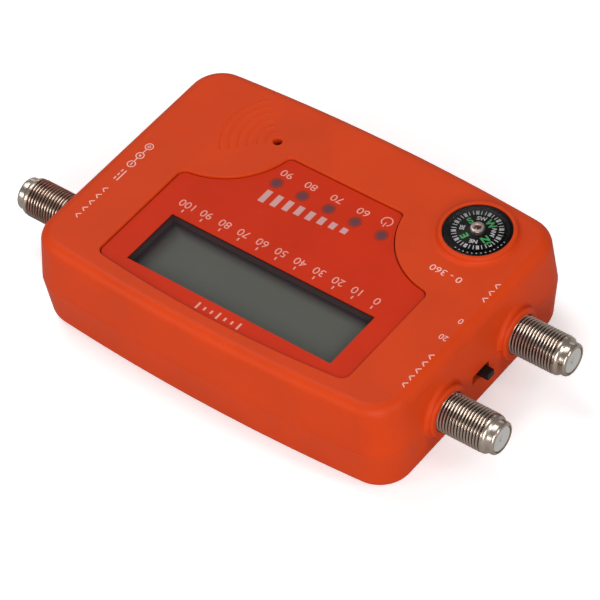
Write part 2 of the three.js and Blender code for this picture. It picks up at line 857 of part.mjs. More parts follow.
// Case
addPart('upper_housing', upperHousing(), caseOrange);
addPart('lower_housing', lowerHousing(), caseOrange);
caseScrewPlaces.forEach(([x, y], i) => {
  const screw = upScrew(caseScrewShankRadius, caseScrewHeadRadius, caseScrewHeadHeight, caseScrewLength);
  addPart(`case_screw_${i + 1}`, screw, steel, [x, y, counterboreDepth]);
});

// Face label with its display opening and lamp holes
function faceLabel() {
  const film = slab(drawnIn(fieldOutline(), sideGap), fieldFloor, labelTop);
  const low = fieldFloor - overrun;
  const high = labelTop + overrun;
  const tools = [
    solid(blockAt(displayX, displayY, displayWidth, displayHeight, low, high)),
    ...lampPlaces.map(([x, y]) => solid(post(x, y, lampRadius + lampHoleGap, low, high))),
  ];
  return cut(solid(film), tools);
}
addPart('face_label', faceLabel(), labelRed);

// Display: clear window, dark bezel, glass cell, backlight and two rubber contact strips
function displayPieces() {
  const spread = (lap) => [displayWidth + 2 * lap, displayHeight + 2 * lap];
  const centred = (size, z0, z1) => blockAt(displayX, displayY, ...size, z0, z1);
  const windowSize = spread(windowLap - sideGap);
  addPart('display_window', centred(windowSize, windowBottom, fieldFloor), clearPlastic);

  const outside = spread(glassLap + sideGap + bezelWall);
  const bezel = cut(solid(centred(outside, glassBottom, ceilingHeight)), [
    solid(centred(spread(glassLap + sideGap), glassBottom - overrun, glassTop)),
    solid(centred(spread(0), glassBottom, ceilingHeight + overrun)),
  ]);
  addPart('display_bezel', bezel, bezelBlack);
  addPart('display_glass', centred(spread(glassLap), glassBottom, glassTop), displayGrey);

  const [glassLength, glassWidth] = spread(glassLap);
  const plateWidth = glassWidth - 2 * (stripWidth + stripGap);
  const plate = blockAt(displayX, displayY, glassLength, plateWidth, displayBoardFace, glassBottom);
  addPart('display_backlight', plate, diffuserWhite);
  const stripShift = (glassWidth - stripWidth) / 2;
  for (const [name, y] of [['lower', displayY - stripShift], ['upper', displayY + stripShift]]) {
    const strip = blockAt(displayX, y, glassLength, stripWidth, displayBoardFace, glassBottom);
    addPart(`contact_strip_${name}`, strip, rubberGrey);
  }
}
displayPieces();

// A lamp: round-topped lens on a flange, with two legs down to the board
function lamp() {
  const top = labelTop - lampSunk - displayBoardFace;
  const base = top - lampBodyHeight - lampFlangeHeight;
  const dome = arc(0, top - lampRadius, lampRadius, 0, quarterTurn, filletSteps);
  const profile = [
    [0, base],
    [lampFlangeRadius, base],
    [lampFlangeRadius, base + lampFlangeHeight],
    [lampRadius, base + lampFlangeHeight],
    ...dome.map((point) => [Math.max(point.x, 0), point.y]),
  ];
  profile[profile.length - 1][0] = 0;
  const legs = [-1, 1].map((side) => (
    solid(blockAt((side * lampLegSpread) / 2, 0, lampLegWidth, lampLegWidth, 0, base + lampFlangeHeight / 2))
  ));
  return join([solid(turned(profile, smallSides)), ...legs]);
}
lampNames.forEach((name, i) => {
  addPart(name, lamp(), lampViolet, [...lampPlaces[i], displayBoardFace]);
});

// Sounder under the sound hole
function sounder() {
  const top = ceilingHeight - sounderTopGap;
  const can = post(soundHoleX, soundHoleY, sounderRadius, displayBoardFace, top, roundSides);
  const hole = post(soundHoleX, soundHoleY, sounderHoleRadius, top - sounderHoleDepth, top + overrun);
  return cut(solid(can), [solid(hole)]);
}
addPart('sounder', sounder(), matteBlack);

// Compass: a black cup with a needle, a dial that turns on it and a clear dome
function compassPieces() {
  const home = new THREE.Group();
  home.position.set(compassX, compassY, 0);
  meter.add(home);
  const inside = compassCupRadius - compassCupWall;
  const cup = [
    [0, compassCupBottom],
    [compassCupRadius, compassCupBottom],
    [compassCupRadius, compassRim],
    [inside, compassRim],
    [inside, compassFloor],
    [0, compassFloor],
  ];
  addPart('compass_cup', turned(cup, bigSides), matteBlack, [0, 0, 0], home);

  const dialBottom = dialTop - dialThickness;
  const capTop = dialTop + dialCapRise;
  const needleTop = capTop - dialCapSkin - turnedGap;
  const needle = [
    [0, compassFloor],
    [needleRadius, compassFloor],
    [needleRadius, needleTop - needlePointLength],
    [0, needleTop],
  ];
  addPart('compass_needle', turned(needle, tinySides), steel, [0, 0, 0], home);

  const dial = cut(solid(post(0, 0, dialRadius, dialBottom, dialTop, bigSides)), [
    solid(post(0, 0, dialBoreRadius, dialBottom - overrun, dialTop + overrun)),
  ]);
  addPart('compass_dial', dial, dialBlack, [0, 0, 0], home);

  const crown = arc(0, capTop - dialCapRise / 2, dialCapRise / 2, 0, quarterTurn, 2);
  const capShoulder = dialCapRadius - dialCapRise / 2;
  const cap = [
    [dialBoreRadius, dialTop],
    [dialCapRadius, dialTop],
    ...crown.map((point) => [capShoulder + point.x, point.y]),
    [0, capTop],
    [0, capTop - dialCapSkin],
    [dialBoreRadius, capTop - dialCapSkin],
    [dialBoreRadius, dialTop],
  ];
  addPart('compass_dial_cap', turned(cap), copperPink, [0, 0, 0], home);

  const magnetTop = dialBottom;
  const bar = cut(solid(blockAt(0, 0, magnetLength, magnetWidth, magnetTop - magnetThickness, magnetTop)), [
    solid(post(0, 0, dialBoreRadius, magnetTop - 2 * magnetThickness, magnetTop + overrun)),
  ]);
  const magnet = addPart('compass_magnet', bar, steel, [0, 0, 0], home);
  magnet.rotation.z = THREE.MathUtils.degToRad(northAngle);

  const domeOf = (radius, rise) => (radius * radius + rise * rise) / (2 * rise);
  const innerRise = domeRise - domeThickness;
  const outerSphere = domeOf(compassCupRadius, domeRise);
  const innerSphere = domeOf(inside, innerRise);
  const outerEdge = Math.asin(compassCupRadius / outerSphere);
  const innerEdge = Math.asin(inside / innerSphere);
  const dome = [];
  for (let i = 0; i <= domeSteps; i += 1) {
    const angle = outerEdge * (1 - i / domeSteps);
    dome.push([outerSphere * Math.sin(angle), domeRise + outerSphere * (Math.cos(angle) - 1)]);
  }
  for (let i = 0; i <= domeSteps; i += 1) {
    const angle = (innerEdge * i) / domeSteps;
    dome.push([innerSphere * Math.sin(angle), innerRise + innerSphere * (Math.cos(angle) - 1)]);
  }
  dome.push(dome[0]);
  addPart('compass_dome', turned(dome, bigSides), clearPlastic, [0, 0, compassRim], home);
}
compassPieces();

// Outer profile of a socket barrel along its axis, measured from the end wall of the case
function barrelProfile(reach) {
  const rear = -innerWallDepth - turnedGap - socketBlockDepth / 2;
  const shoulder = reach - shoulderSetback;
  const turns = Math.floor(shoulder / threadPitch);
  const profile = [[0, rear], [threadRoot, rear]];
  for (let i = 0; i < turns; i += 1) {
    const low = shoulder - (turns - i) * threadPitch;
    profile.push([threadRoot, low], [threadRadius, low + threadPitch / 2]);
  }
  profile.push([threadRoot, shoulder], [noseBaseRadius, shoulder + shoulderChamfer]);
  const roundStart = reach - noseRound;
  for (const point of arc(0, roundStart, noseRound, 0, quarterTurn, filletSteps)) {
    profile.push([noseRadius - noseRound + point.x, point.y]);
  }
  profile.push([0, reach]);
  return profile;
}

// Threaded socket: barrel with its square block, insulator and centre contact
function addSocket({ name, y, side, reach }) {
  const turn = new THREE.Group();
  turn.position.set(side * halfLength, y, partingHeight);
  turn.rotation.z = side < 0 ? 0 : Math.PI;
  meter.add(turn);
  const axis = new THREE.Group();
  axis.rotation.y = -quarterTurn;
  turn.add(axis);

  const blockFront = -innerWallDepth - turnedGap;
  const blockBack = blockFront - socketBlockDepth;
  const half = socketBlockHalf;
  const boreRadius = insulatorRadius + insulatorGap;
  const barrel = cut(
    join([
      solid(turned(barrelProfile(reach), threadSides)),
      solid(block(-half, half, -half, half, blockBack, blockFront)),
    ]),
    [solid(post(0, 0, boreRadius, blockBack - overrun, reach + overrun, threadSides))],
  );
  addPart(`${name}_socket_barrel`, barrel, nickel, [0, 0, 0], axis);

  const front = reach - insulatorSunk;
  const contactFront = front - insulatorSkin;
  const contactHole = contactRadius + insulatorGap;
  const insulator = cut(solid(post(0, 0, insulatorRadius, blockBack, front, threadSides)), [
    solid(post(0, 0, contactHole, blockBack - overrun, contactFront + insulatorGap, tinySides)),
    solid(post(0, 0, contactBoreRadius, contactFront, front + overrun, tinySides)),
  ]);
  addPart(`${name}_socket_insulator`, insulator, insulatorWhite, [0, 0, 0], axis);

  const tail = blockBack - contactTail;
  const drop = -(partingHeight - mainBoardTop - turnedGap);
  const contact = cut(
    join([
      solid(post(0, 0, contactRadius, tail, contactFront, tinySides)),
      solid(block(drop, 0, -contactRadius / 2, contactRadius / 2, tail, tail + contactRadius)),
    ]),
    [solid(post(0, 0, contactBoreRadius, contactFront - contactBoreDepth, front, tinySides))],
  );
  addPart(`${name}_socket_contact`, contact, goldContact, [0, 0, 0], axis);
}
sockets.forEach(addSocket);

// Slide switch: steel frame on the board, brown base behind and the slider that sticks out of the case
function switchPieces() {
  const front = -innerWallX + turnedGap;
  const back = front + switchFrameDepth;
  const top = 2 * sliderMiddle - mainBoardTop;
  const halfFrame = switchFrameLength / 2;
  const wall = switchFrameWall;
  const frame = cut(solid(block(front, back, switchY - halfFrame, switchY + halfFrame, mainBoardTop, top)), [
    solid(block(
      front + wall,
      back + overrun,
      switchY - halfFrame + wall,
      switchY + halfFrame - wall,
      mainBoardTop + wall,
      top - wall,
    )),
    solid(block(
      front - overrun,
      front + 2 * wall,
      switchY - slotLength / 2,
      switchY + slotLength / 2,
      slotBottom,
      partingHeight,
    )),
  ]);
  addPart('switch_frame', frame, steel);

  const baseFront = back - switchBaseThickness;
  const baseHalf = halfFrame - wall - sideGap;
  const baseLow = mainBoardTop + wall + sideGap;
  const baseHigh = top - wall - sideGap;
  const plate = solid(block(baseFront, back, switchY - baseHalf, switchY + baseHalf, baseLow, baseHigh));
  const terminals = [-1, 0, 1].map((place) => {
    const y = switchY + place * terminalPitch;
    const pin = blockAt(back, y, 2 * terminalWidth, terminalWidth, baseLow + terminalWidth, sliderMiddle);
    const leg = blockAt(back + terminalWidth, y, terminalWidth, terminalWidth, mainBoardTop, sliderMiddle);
    return join([solid(pin), solid(leg)]);
  });
  addPart('switch_base', join([plate, ...terminals]), phenolicBrown);

  const restY = switchY - sliderTravel / 2;
  const shoeFront = front + wall + sideGap;
  const shoeHalf = (top - mainBoardTop) / 2 - wall - slideGap;
  const slider = join([
    solid(blockAt(
      (shoeFront - halfLength - sliderReach) / 2,
      restY,
      halfLength + sliderReach + shoeFront + sliderShoeDepth / 2,
      sliderWidth,
      sliderMiddle - sliderHeight / 2,
      sliderMiddle + sliderHeight / 2,
    )),
    solid(block(
      shoeFront,
      shoeFront + sliderShoeDepth,
      restY - sliderShoeWidth / 2,
      restY + sliderShoeWidth / 2,
      sliderMiddle - shoeHalf,
      sliderMiddle + shoeHalf,
    )),
  ]);
  addPart('switch_slider', slider, matteBlack);
}
switchPieces();

// Power socket: round-faced body on the board, centre pin and side spring
function powerSocketPieces() {
  const face = halfLength - powerFaceSunk;
  const bodyFront = innerWallX - turnedGap;
  const bodyBack = powerBodyBack;
  const halfWidth = powerBodyWidth / 2;
  const halfHeight = partingHeight - mainBoardTop;
  const alongX = (radius, x0, x1, sides) => (
    solid(post(0, 0, radius, x0, x1, sides).rotateY(quarterTurn).translate(0, powerY, partingHeight))
  );
  const boreEnd = face - powerBoreDepth;
  const springSlot = powerBoreRadius + powerSpringThickness;
  const springBack = boreEnd - sideGap;
  const springHalf = powerSpringWidth / 2;
  const body = cut(
    join([
      alongX(powerFaceRadius, bodyFront - overrun, face, roundSides),
      solid(block(
        bodyBack,
        bodyFront,
        powerY - halfWidth,
        powerY + halfWidth,
        mainBoardTop,
        partingHeight + halfHeight,
      )),
    ]),
    [
      alongX(powerBoreRadius, boreEnd, face + overrun, roundSides),
      alongX(powerPinRadius + sideGap, bodyBack - overrun, boreEnd + overrun, smallSides),
      solid(block(
        springBack,
        boreEnd + powerSpringLength + sideGap,
        powerY - springHalf - sideGap,
        powerY + springHalf + sideGap,
        partingHeight - springSlot - 2 * sideGap,
        partingHeight,
      )),
    ],
  );
  addPart('power_socket_body', body, matteBlack);

  const pinProfile = [
    [0, bodyBack - powerPinTail],
    [powerPinRadius, bodyBack - powerPinTail],
    [powerPinRadius, face - powerPinSunk - powerPinRadius / 2],
    [powerPinRadius / 2, face - powerPinSunk],
    [0, face - powerPinSunk],
  ];
  const pin = turned(pinProfile, smallSides).rotateY(quarterTurn).translate(0, powerY, partingHeight);
  addPart('power_socket_pin', pin, nickel);

  const springTop = partingHeight - springSlot - sideGap + powerSpringThickness;
  const spring = block(
    boreEnd,
    boreEnd + powerSpringLength,
    powerY - springHalf,
    powerY + springHalf,
    springTop - powerSpringThickness,
    springTop,
  );
  addPart('power_socket_spring', spring, copperPink);
}
powerSocketPieces();

// Main board: notched at the corners for the screw columns
function mainBoard() {
  const [x, y] = [mainBoardHalfLength, mainBoardHalfWidth];
  const quarter = [[x, -notchY], [x, notchY], [notchX, notchY], [notchX, y], [-notchX, y], [-notchX, notchY]];
  const outline = [...quarter, ...quarter.map(([px, py]) => [-px, -py])];
  const points = outline.map(([px, py]) => new THREE.Vector2(px, py));
  return cut(solid(slab(points, mainBoardBottom, mainBoardTop)), mainPostPlaces.map(([px, py]) => (
    solid(post(px, py, boardScrewShankRadius + sideGap, mainBoardBottom - overrun, mainBoardTop + overrun))
  )));
}
addPart('main_board', mainBoard(), boardGreen);

// Display board: rounded out at one corner for the compass
function displayBoard() {
  const [x, y0, y1] = [displayBoardHalfLength, displayBoardBottom, displayBoardTop];
  const sheet = block(-x, x, y0, y1, displayBoardBack, displayBoardFace);
  const low = displayBoardBack - overrun;
  const high = displayBoardFace + overrun;
  const compassRoom = post(compassX, compassY, collarOuterRadius + boardEdgeGap, low, high, bigSides);
  return cut(solid(sheet), [solid(compassRoom), ...displayPostPlaces.map(([px, py]) => (
    solid(post(px, py, boardScrewShankRadius + sideGap, low, high))
  ))]);
}
addPart('display_board', displayBoard(), boardGreen);

// Board screws: the main board's point down into the posts, the display board's point up
mainPostPlaces.forEach(([x, y], i) => {
  const screw = upScrew(boardScrewShankRadius, boardScrewHeadRadius, boardScrewHeadHeight, boardScrewLength);
  const part = addPart(`main_board_screw_${i + 1}`, screw, steel, [x, y, mainBoardTop]);
  part.rotation.x = Math.PI;
});
displayPostPlaces.forEach(([x, y], i) => {
  const screw = upScrew(boardScrewShankRadius, boardScrewHeadRadius, boardScrewHeadHeight, boardScrewLength);
  addPart(`display_board_screw_${i + 1}`, screw, steel, [x, y, displayBoardBack]);
});

// Pin strip that joins the two boards
function pinStrip() {
  const span = (pinCount - 1) * pinPitch;
  const middle = (mainBoardTop + displayBoardBack) / 2;
  const half = pinCarrierHeight / 2;
  const carrier = blockAt(stripX, stripY, span + pinPitch, pinPitch, middle - half, middle + half);
  const pins = [];
  for (let i = 0; i < pinCount; i += 1) {
    const x = stripX - span / 2 + i * pinPitch;
    pins.push(solid(blockAt(x, stripY, pinWidth, pinWidth, mainBoardTop, displayBoardBack)));
  }
  return join([solid(carrier), ...pins]);
}
addPart('board_pin_strip', pinStrip(), matteBlack);

// Parts on the main board
function onMainBoard(height) {
  return [mainBoardTop, mainBoardTop + height];
}

const shield = cut(solid(blockAt(shieldX, shieldY, shieldLength, shieldWidth, ...onMainBoard(shieldHeight))), [
  solid(blockAt(
    shieldX,
    shieldY,
    shieldLength - 2 * shieldWall,
    shieldWidth - 2 * shieldWall,
    mainBoardTop - overrun,
    mainBoardTop + shieldHeight - shieldWall,
  )),
]);
addPart('shield_can', shield, steel);
addPart('tuner_chip', blockAt(shieldX, shieldY, tunerSide, tunerSide, ...onMainBoard(tunerHeight)), matteBlack);

function controller() {
  const body = solid(blockAt(
    controllerX,
    controllerY,
    controllerSide,
    controllerSide,
    mainBoardTop + controllerLegWidth / 2,
    mainBoardTop + controllerHeight,
  ));
  const count = Math.floor(controllerSide / controllerLegPitch) - 1;
  const reach = controllerSide + 2 * controllerLegReach;
  const legs = [];
  for (let i = 0; i < count; i += 1) {
    const shift = (i - (count - 1) / 2) * controllerLegPitch;
    const heights = onMainBoard(controllerLegWidth);
    legs.push(solid(blockAt(controllerX + shift, controllerY, controllerLegWidth, reach, ...heights)));
  }
  return join([body, ...legs]);
}
addPart('microcontroller', controller(), matteBlack);
addPart(
  'crystal',
  blockAt(crystalX, crystalY, crystalLength, crystalWidth, ...onMainBoard(crystalHeight)),
  steel,
);
addPart(
  'voltage_regulator',
  blockAt(regulatorX, regulatorY, regulatorLength, regulatorWidth, ...onMainBoard(regulatorHeight)),
  matteBlack,
);

const coilWaist = coilRadius * coilWaistShare;
const coil = [
  [0, 0],
  [coilRadius, 0],
  [coilRadius, coilFlangeHeight],
  [coilWaist, coilFlangeHeight],
  [coilWaist, coilHeight - coilFlangeHeight],
  [coilRadius, coilHeight - coilFlangeHeight],
  [coilRadius, coilHeight],
  [0, coilHeight],
];
addPart('choke_coil', turned(coil), ferriteGrey, [coilX, coilY, mainBoardTop]);

function capacitor() {
  const side = 2 * capacitorRadius;
  const base = blockAt(0, 0, side, side, 0, capacitorBaseHeight);
  return join([solid(base), solid(post(0, 0, capacitorRadius, 0, capacitorHeight, roundSides))]);
}
addPart('input_capacitor', capacitor(), capacitorBlue, [inputCapacitorX, capacitorY, mainBoardTop]);
addPart('output_capacitor', capacitor(), capacitorBlue, [outputCapacitorX, capacitorY, mainBoardTop]);

const trimmer = join([
  solid(blockAt(0, 0, trimmerSide, trimmerSide, 0, trimmerHeight)),
  solid(post(0, 0, trimmerRotorRadius, trimmerHeight / 2, trimmerHeight + trimmerRotorRise)),
]);
addPart('level_trimmer', trimmer, insulatorWhite, [trimmerX, trimmerY, mainBoardTop]);

export default meter;
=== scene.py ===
# %% [markdown]
# # A satellite signal meter
# The meter is a hand-held orange case with a display, five lamps, a button compass, three threaded
# sockets, a slide switch and a power socket. The solids come packed from the CAD model. This script
# keeps their places, builds finer pieces over the ones that show, and gives everything a finish.

import json
import math

import bmesh
import bpy
from mathutils import Matrix, Vector


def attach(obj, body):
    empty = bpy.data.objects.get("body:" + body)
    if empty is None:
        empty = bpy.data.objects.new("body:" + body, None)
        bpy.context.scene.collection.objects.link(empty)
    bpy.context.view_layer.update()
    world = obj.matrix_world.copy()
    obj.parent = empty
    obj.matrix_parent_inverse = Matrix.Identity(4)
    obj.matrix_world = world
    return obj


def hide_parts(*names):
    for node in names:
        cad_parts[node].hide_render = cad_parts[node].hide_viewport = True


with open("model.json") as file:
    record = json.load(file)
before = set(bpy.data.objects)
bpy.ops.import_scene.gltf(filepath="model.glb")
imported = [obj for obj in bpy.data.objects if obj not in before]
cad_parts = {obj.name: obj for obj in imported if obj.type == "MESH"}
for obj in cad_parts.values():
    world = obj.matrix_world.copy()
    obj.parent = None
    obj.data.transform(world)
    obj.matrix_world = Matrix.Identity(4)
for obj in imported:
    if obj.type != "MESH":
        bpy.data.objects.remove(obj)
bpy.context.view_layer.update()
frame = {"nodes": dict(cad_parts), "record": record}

# %% [markdown]
# All pieces are modelled in millimetres, because the real thing is measured in them, and made
# smaller by a thousand when they become an object. The values below are the sizes of the real case
# that more than one piece shares.

# %% Sizes that pieces share, in millimetres
MM = 0.001
NEAR = 0.001
QUARTER = math.pi / 2
FULL = 2 * math.pi

CASE_HALF_LENGTH = 50.87
CASE_HALF_WIDTH = 35.15
SIDE_BOW = 1.71
CORNER_RADIUS = 8.5
FACE_Z = 26.3
PARTING_Z = 12.65
TOP_ROUND = 3.0
BOTTOM_ROUND = 3.5
UPPER_DRAFT = 0.76
LOWER_DRAFT = 0.8
WALL = 2.0
FIELD_Z = 25.5
LABEL_Z = 25.75
print("case in millimetres:", 2 * CASE_HALF_LENGTH, 2 * (CASE_HALF_WIDTH + SIDE_BOW), FACE_Z)

# %% [markdown]
# A finished piece has its object at the origin and its place in its mesh. Its faces are smooth, and
# edges sharper than about 35 degrees stay crisp.

# %% Turning a bmesh into a piece
SMOOTH_UP_TO = math.radians(35)


def link(name, bm):
    mesh = bpy.data.meshes.new(name)
    bm.to_mesh(mesh)
    bm.free()
    obj = bpy.data.objects.new(name, mesh)
    bpy.context.scene.collection.objects.link(obj)
    return obj


def piece(name, bm, material, body="case", stands_for=(), evened=False):
    bm.transform(Matrix.Scale(MM, 4))
    for face in bm.faces:
        face.smooth = True
    obj = link(name, bm)
    obj.data.set_sharp_from_angle(angle=SMOOTH_UP_TO)
    obj.data.materials.append(material)
    if evened:
        weights = obj.modifiers.new("Even shading", "WEIGHTED_NORMAL")
        weights.keep_sharp = True
    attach(obj, body)
    if stands_for:
        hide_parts(*stands_for)
    print(f"{name}: {len(obj.data.polygons)} faces")
    return obj

# %% [markdown]
# Round forms are a profile turned about an axis with the spin operator. Every profile is a chain
# of points given as (radius, height). Corners of a turned form are softened afterwards, by
# bevelling the ring of edges that runs through one point of the profile.

# %% Turned forms
def chain(bm, points, shut=False):
    verts = [bm.verts.new((radius, 0, height)) for radius, height in points]
    pairs = list(zip(verts, verts[1:])) + ([(verts[-1], verts[0])] if shut else [])
    edges = [bm.edges.new(pair) for pair in pairs]
    return verts + edges


def spun(bm, geom, steps, angle=FULL, centre=(0, 0, 0), **more):
    return bmesh.ops.spin(
        bm, geom=geom, cent=centre, axis=(0, 0, 1), angle=angle, steps=steps, **more,
    )


def turned(points, steps=96, shut=False):
    bm = bmesh.new()
    spun(bm, chain(bm, points, shut), steps, use_merge=True)
    bmesh.ops.remove_doubles(bm, verts=bm.verts, dist=NEAR)
    bmesh.ops.dissolve_degenerate(bm, edges=bm.edges, dist=NEAR)
    wires = [edge for edge in bm.edges if edge.is_wire]
    bmesh.ops.delete(bm, geom=wires, context="EDGES")
    bmesh.ops.recalc_face_normals(bm, faces=bm.faces)
    return bm


def rounded(bm, geom, width, segments=4, affect="EDGES"):
    bmesh.ops.bevel(
        bm, geom=geom, offset=width, affect=affect, segments=segments,
        profile=0.5, material=-1, clamp_overlap=False,
    )
    return bm


def at_height(vert, height):
    return abs(vert.co.z - height) < NEAR


def soften_ring(bm, radius, height, width, segments=4):
    def on_ring(vert):
        across = math.hypot(vert.co.x, vert.co.y)
        return abs(across - radius) < NEAR and at_height(vert, height)

    ring = [edge for edge in bm.edges if all(on_ring(vert) for vert in edge.verts)]
    return rounded(bm, ring, width, segments)


def moved(bm, x=0.0, y=0.0, z=0.0, turn=None):
    if turn is not None:
        bm.transform(turn)
    bm.transform(Matrix.Translation((x, y, z)))
    return bm


def rod(radius, z0, z1, steps=48):
    return turned([(0, z0), (radius, z0), (radius, z1), (0, z1)], steps)


def box(x0, x1, y0, y1, z0, z1):
    bm = bmesh.new()
    place = Matrix.Translation(((x0 + x1) / 2, (y0 + y1) / 2, (z0 + z1) / 2))
    size = Matrix.Diagonal((x1 - x0, y1 - y0, z1 - z0, 1))
    bmesh.ops.create_cube(bm, size=1, matrix=place @ size)
    return bm

# %% [markdown]
# The case and its sunk field have outlines of arcs and straight runs. Each arc is one vertex spun
# about the arc's centre, and a plain point is a corner that a vertex bevel rounds later. The
# closed chain is filled with one face and extruded.

# %% Outlines seen from above
CORNER_SHARE = 0.98


def swept(bm, x, y, radius, start, turn, steps):
    first = bm.verts.new((x + radius * math.cos(start), y + radius * math.sin(start), 0))
    made = spun(bm, [first], steps, turn, (x, y, 0))
    last = [v for v in made["geom_last"] if isinstance(v, bmesh.types.BMVert)][0]
    return first, last


def plan_face(stations, segments=8):
    """Fills an outline of arcs (x, y, radius, start, turn, steps) and corners (x, y, rounding)."""
    bm = bmesh.new()
    corners = []
    ends = []
    for station in stations:
        if len(station) == 3:
            x, y, round_by = station
            corner = bm.verts.new((x, y, 0))
            corners.append((corner.co.copy(), round_by))
            ends.append((corner, corner))
        else:
            ends.append(swept(bm, *station))
    for (_, last), (following, _) in zip(ends, ends[1:] + ends[:1]):
        if (last.co - following.co).length > NEAR:
            bmesh.ops.contextual_create(bm, geom=[last, following])
    bmesh.ops.remove_doubles(bm, verts=bm.verts, dist=NEAR)
    bmesh.ops.edgeloop_fill(bm, edges=bm.edges)
    for place, round_by in corners:
        sharp = [v for v in bm.verts if (v.co - place).length < NEAR]
        rounded(bm, sharp, CORNER_SHARE * round_by, segments, "VERTICES")
    return bm


def raised(bm, z0, z1):
    made = bmesh.ops.extrude_face_region(bm, geom=bm.faces[:])
    tops = [v for v in made["geom"] if isinstance(v, bmesh.types.BMVert)]
    bmesh.ops.translate(bm, vec=(0, 0, z1 - z0), verts=tops)
    bmesh.ops.translate(bm, vec=(0, 0, z0), verts=bm.verts)
    bmesh.ops.recalc_face_normals(bm, faces=bm.faces)
    return bm

# %% [markdown]
# Openings are cut and bosses are joined with Boolean modifiers on a working copy, which leaves a
# closed mesh. The mouth of an opening is then bevelled a little, because moulded plastic never has
# a knife edge and the thin highlight there is what makes it look real.

# %% Joining, cutting and softening mouths
STEEP = 0.3
LEVEL = 0.99


def combined(base, joined=(), cuts=()):
    target = link("working_base", base)
    tools = []
    for operation, group in (("UNION", joined), ("DIFFERENCE", cuts)):
        for bm in group:
            tool = link("working_tool", bm)
            tools.append(tool)
            step = target.modifiers.new(operation.title(), "BOOLEAN")
            step.operation = operation
            step.solver = "MANIFOLD"
            step.object = tool
    depsgraph = bpy.context.evaluated_depsgraph_get()
    made = bmesh.new()
    made.from_mesh(target.evaluated_get(depsgraph).to_mesh())
    for obj in [target, *tools]:
        mesh = obj.data
        bpy.data.objects.remove(obj)
        bpy.data.meshes.remove(mesh)
    bmesh.ops.remove_doubles(made, verts=made.verts, dist=NEAR)
    bmesh.ops.dissolve_limit(
        made, angle_limit=NEAR, verts=made.verts, edges=made.edges, delimit={"NORMAL"},
    )
    print(f"  joined {len(joined)} and cut {len(cuts)}: {len(made.faces)} faces")
    return made


def soften_mouths(bm, height, width, segments=3):
    def is_mouth(edge):
        if len(edge.link_faces) != 2 or not all(at_height(vert, height) for vert in edge.verts):
            return False
        up = sorted(abs(face.normal.z) for face in edge.link_faces)
        return up[0] < STEEP and up[1] > LEVEL

    bm.normal_update()
    mouths = [edge for edge in bm.edges if is_mouth(edge)]
    print(f"  softened {len(mouths)} mouth edges at z {height}")
    return rounded(bm, mouths, width, segments)

# %% [markdown]
# ## Camera
# The photograph was taken from above the left rear corner with a long lens, so the sides hardly
# converge. The camera's place, aim and roll are those that bring the case's corners, the sockets
# and the compass onto their places in the photograph.

# %% Camera at the photograph's view
CAMERA_PLACE = Vector((-0.36776383, 0.41493631, 0.60105900))
CAMERA_ACROSS = Vector((-0.79350184, -0.60465271, -0.06891976))
CAMERA_DOWN = Vector((-0.40799200, 0.61258127, -0.67696877))
SENSOR_WIDTH = 36.0
FOCAL_PIXELS = 3580.26
PHOTO_PIXELS = 600.0

lens = bpy.data.cameras.new("camera")
lens.sensor_fit = "HORIZONTAL"
lens.sensor_width = SENSOR_WIDTH
lens.lens = FOCAL_PIXELS / PHOTO_PIXELS * SENSOR_WIDTH
lens.clip_start = 0.05
lens.clip_end = 20.0
camera = bpy.data.objects.new("camera", lens)
bpy.context.scene.collection.objects.link(camera)
axes = Matrix((CAMERA_ACROSS, -CAMERA_DOWN, CAMERA_DOWN.cross(CAMERA_ACROSS))).transposed()
camera.matrix_world = Matrix.Translation(CAMERA_PLACE) @ axes.to_4x4()
bpy.context.scene.camera = camera
print("lens in millimetres:", round(lens.lens, 2))

# %% [markdown]
# ## Floor and light
# A plain white floor and large soft lights, as in a product photograph. The strongest panel stands
# on the camera's side, one hangs overhead, four weaker ones fill the ends and corners, and a pale
# sky does the rest. The camera sees a brighter floor than the meter does, so it stays white.

# %% Floor, and helpers for all materials
FLOOR_HALF = 1500.0
FLOOR_DROP = 0.05
FLOOR_GLOW = 0.36
FLOOR_ROUGHNESS = 0.9
FLOOR_SEEN = (0.97, 0.97, 0.97, 1)
FLOOR_BOUNCED = (0.5, 0.5, 0.5, 1)
WHITE = (1, 1, 1, 1)


def fill(node, inputs):
    for name, value in inputs.items():
        node.inputs[name].default_value = value


def new_node(tree, kind, place=(0, 0), inputs=None, **values):
    node = tree.nodes.new(kind)
    node.location = place
    for name, value in values.items():
        setattr(node, name, value)
    fill(node, inputs or {})
    return node


def wire(source, target):
    source.id_data.links.new(source, target)


def new_material(name):
    material = bpy.data.materials.new(name)
    material.use_nodes = True
    tree = material.node_tree
    return material, tree, tree.nodes["Principled BSDF"]


def floor_finish():
    material, tree, shader = new_material("floor_white")
    fill(shader, {"Base Color": FLOOR_SEEN, "Roughness": FLOOR_ROUGHNESS,
                  "Emission Color": WHITE, "Emission Strength": FLOOR_GLOW})
    dim = new_node(tree, "ShaderNodeBsdfDiffuse", (0, -400), {"Color": FLOOR_BOUNCED})
    path = new_node(tree, "ShaderNodeLightPath", (0, 400))
    mix = new_node(tree, "ShaderNodeMixShader", (400, 0))
    wire(path.outputs["Is Camera Ray"], mix.inputs["Fac"])
    wire(dim.outputs["BSDF"], mix.inputs[1])
    wire(shader.outputs["BSDF"], mix.inputs[2])
    wire(mix.outputs["Shader"], tree.nodes["Material Output"].inputs["Surface"])
    return material


floor_mesh = bmesh.new()
bmesh.ops.create_grid(floor_mesh, x_segments=1, y_segments=1, size=FLOOR_HALF)
moved(floor_mesh, z=-FLOOR_DROP).transform(Matrix.Scale(MM, 4))
floor = link("floor", floor_mesh)
floor.data.materials.append(floor_finish())
print("floor:", FLOOR_HALF * 2 * MM, "metres wide")

# %% [markdown]
# Each panel is a rectangle of light that faces the meter from its own place.

# %% Soft lights and a pale sky
AIM = Vector((0, 0, 0.012))
SKY_STRENGTH = 0.24


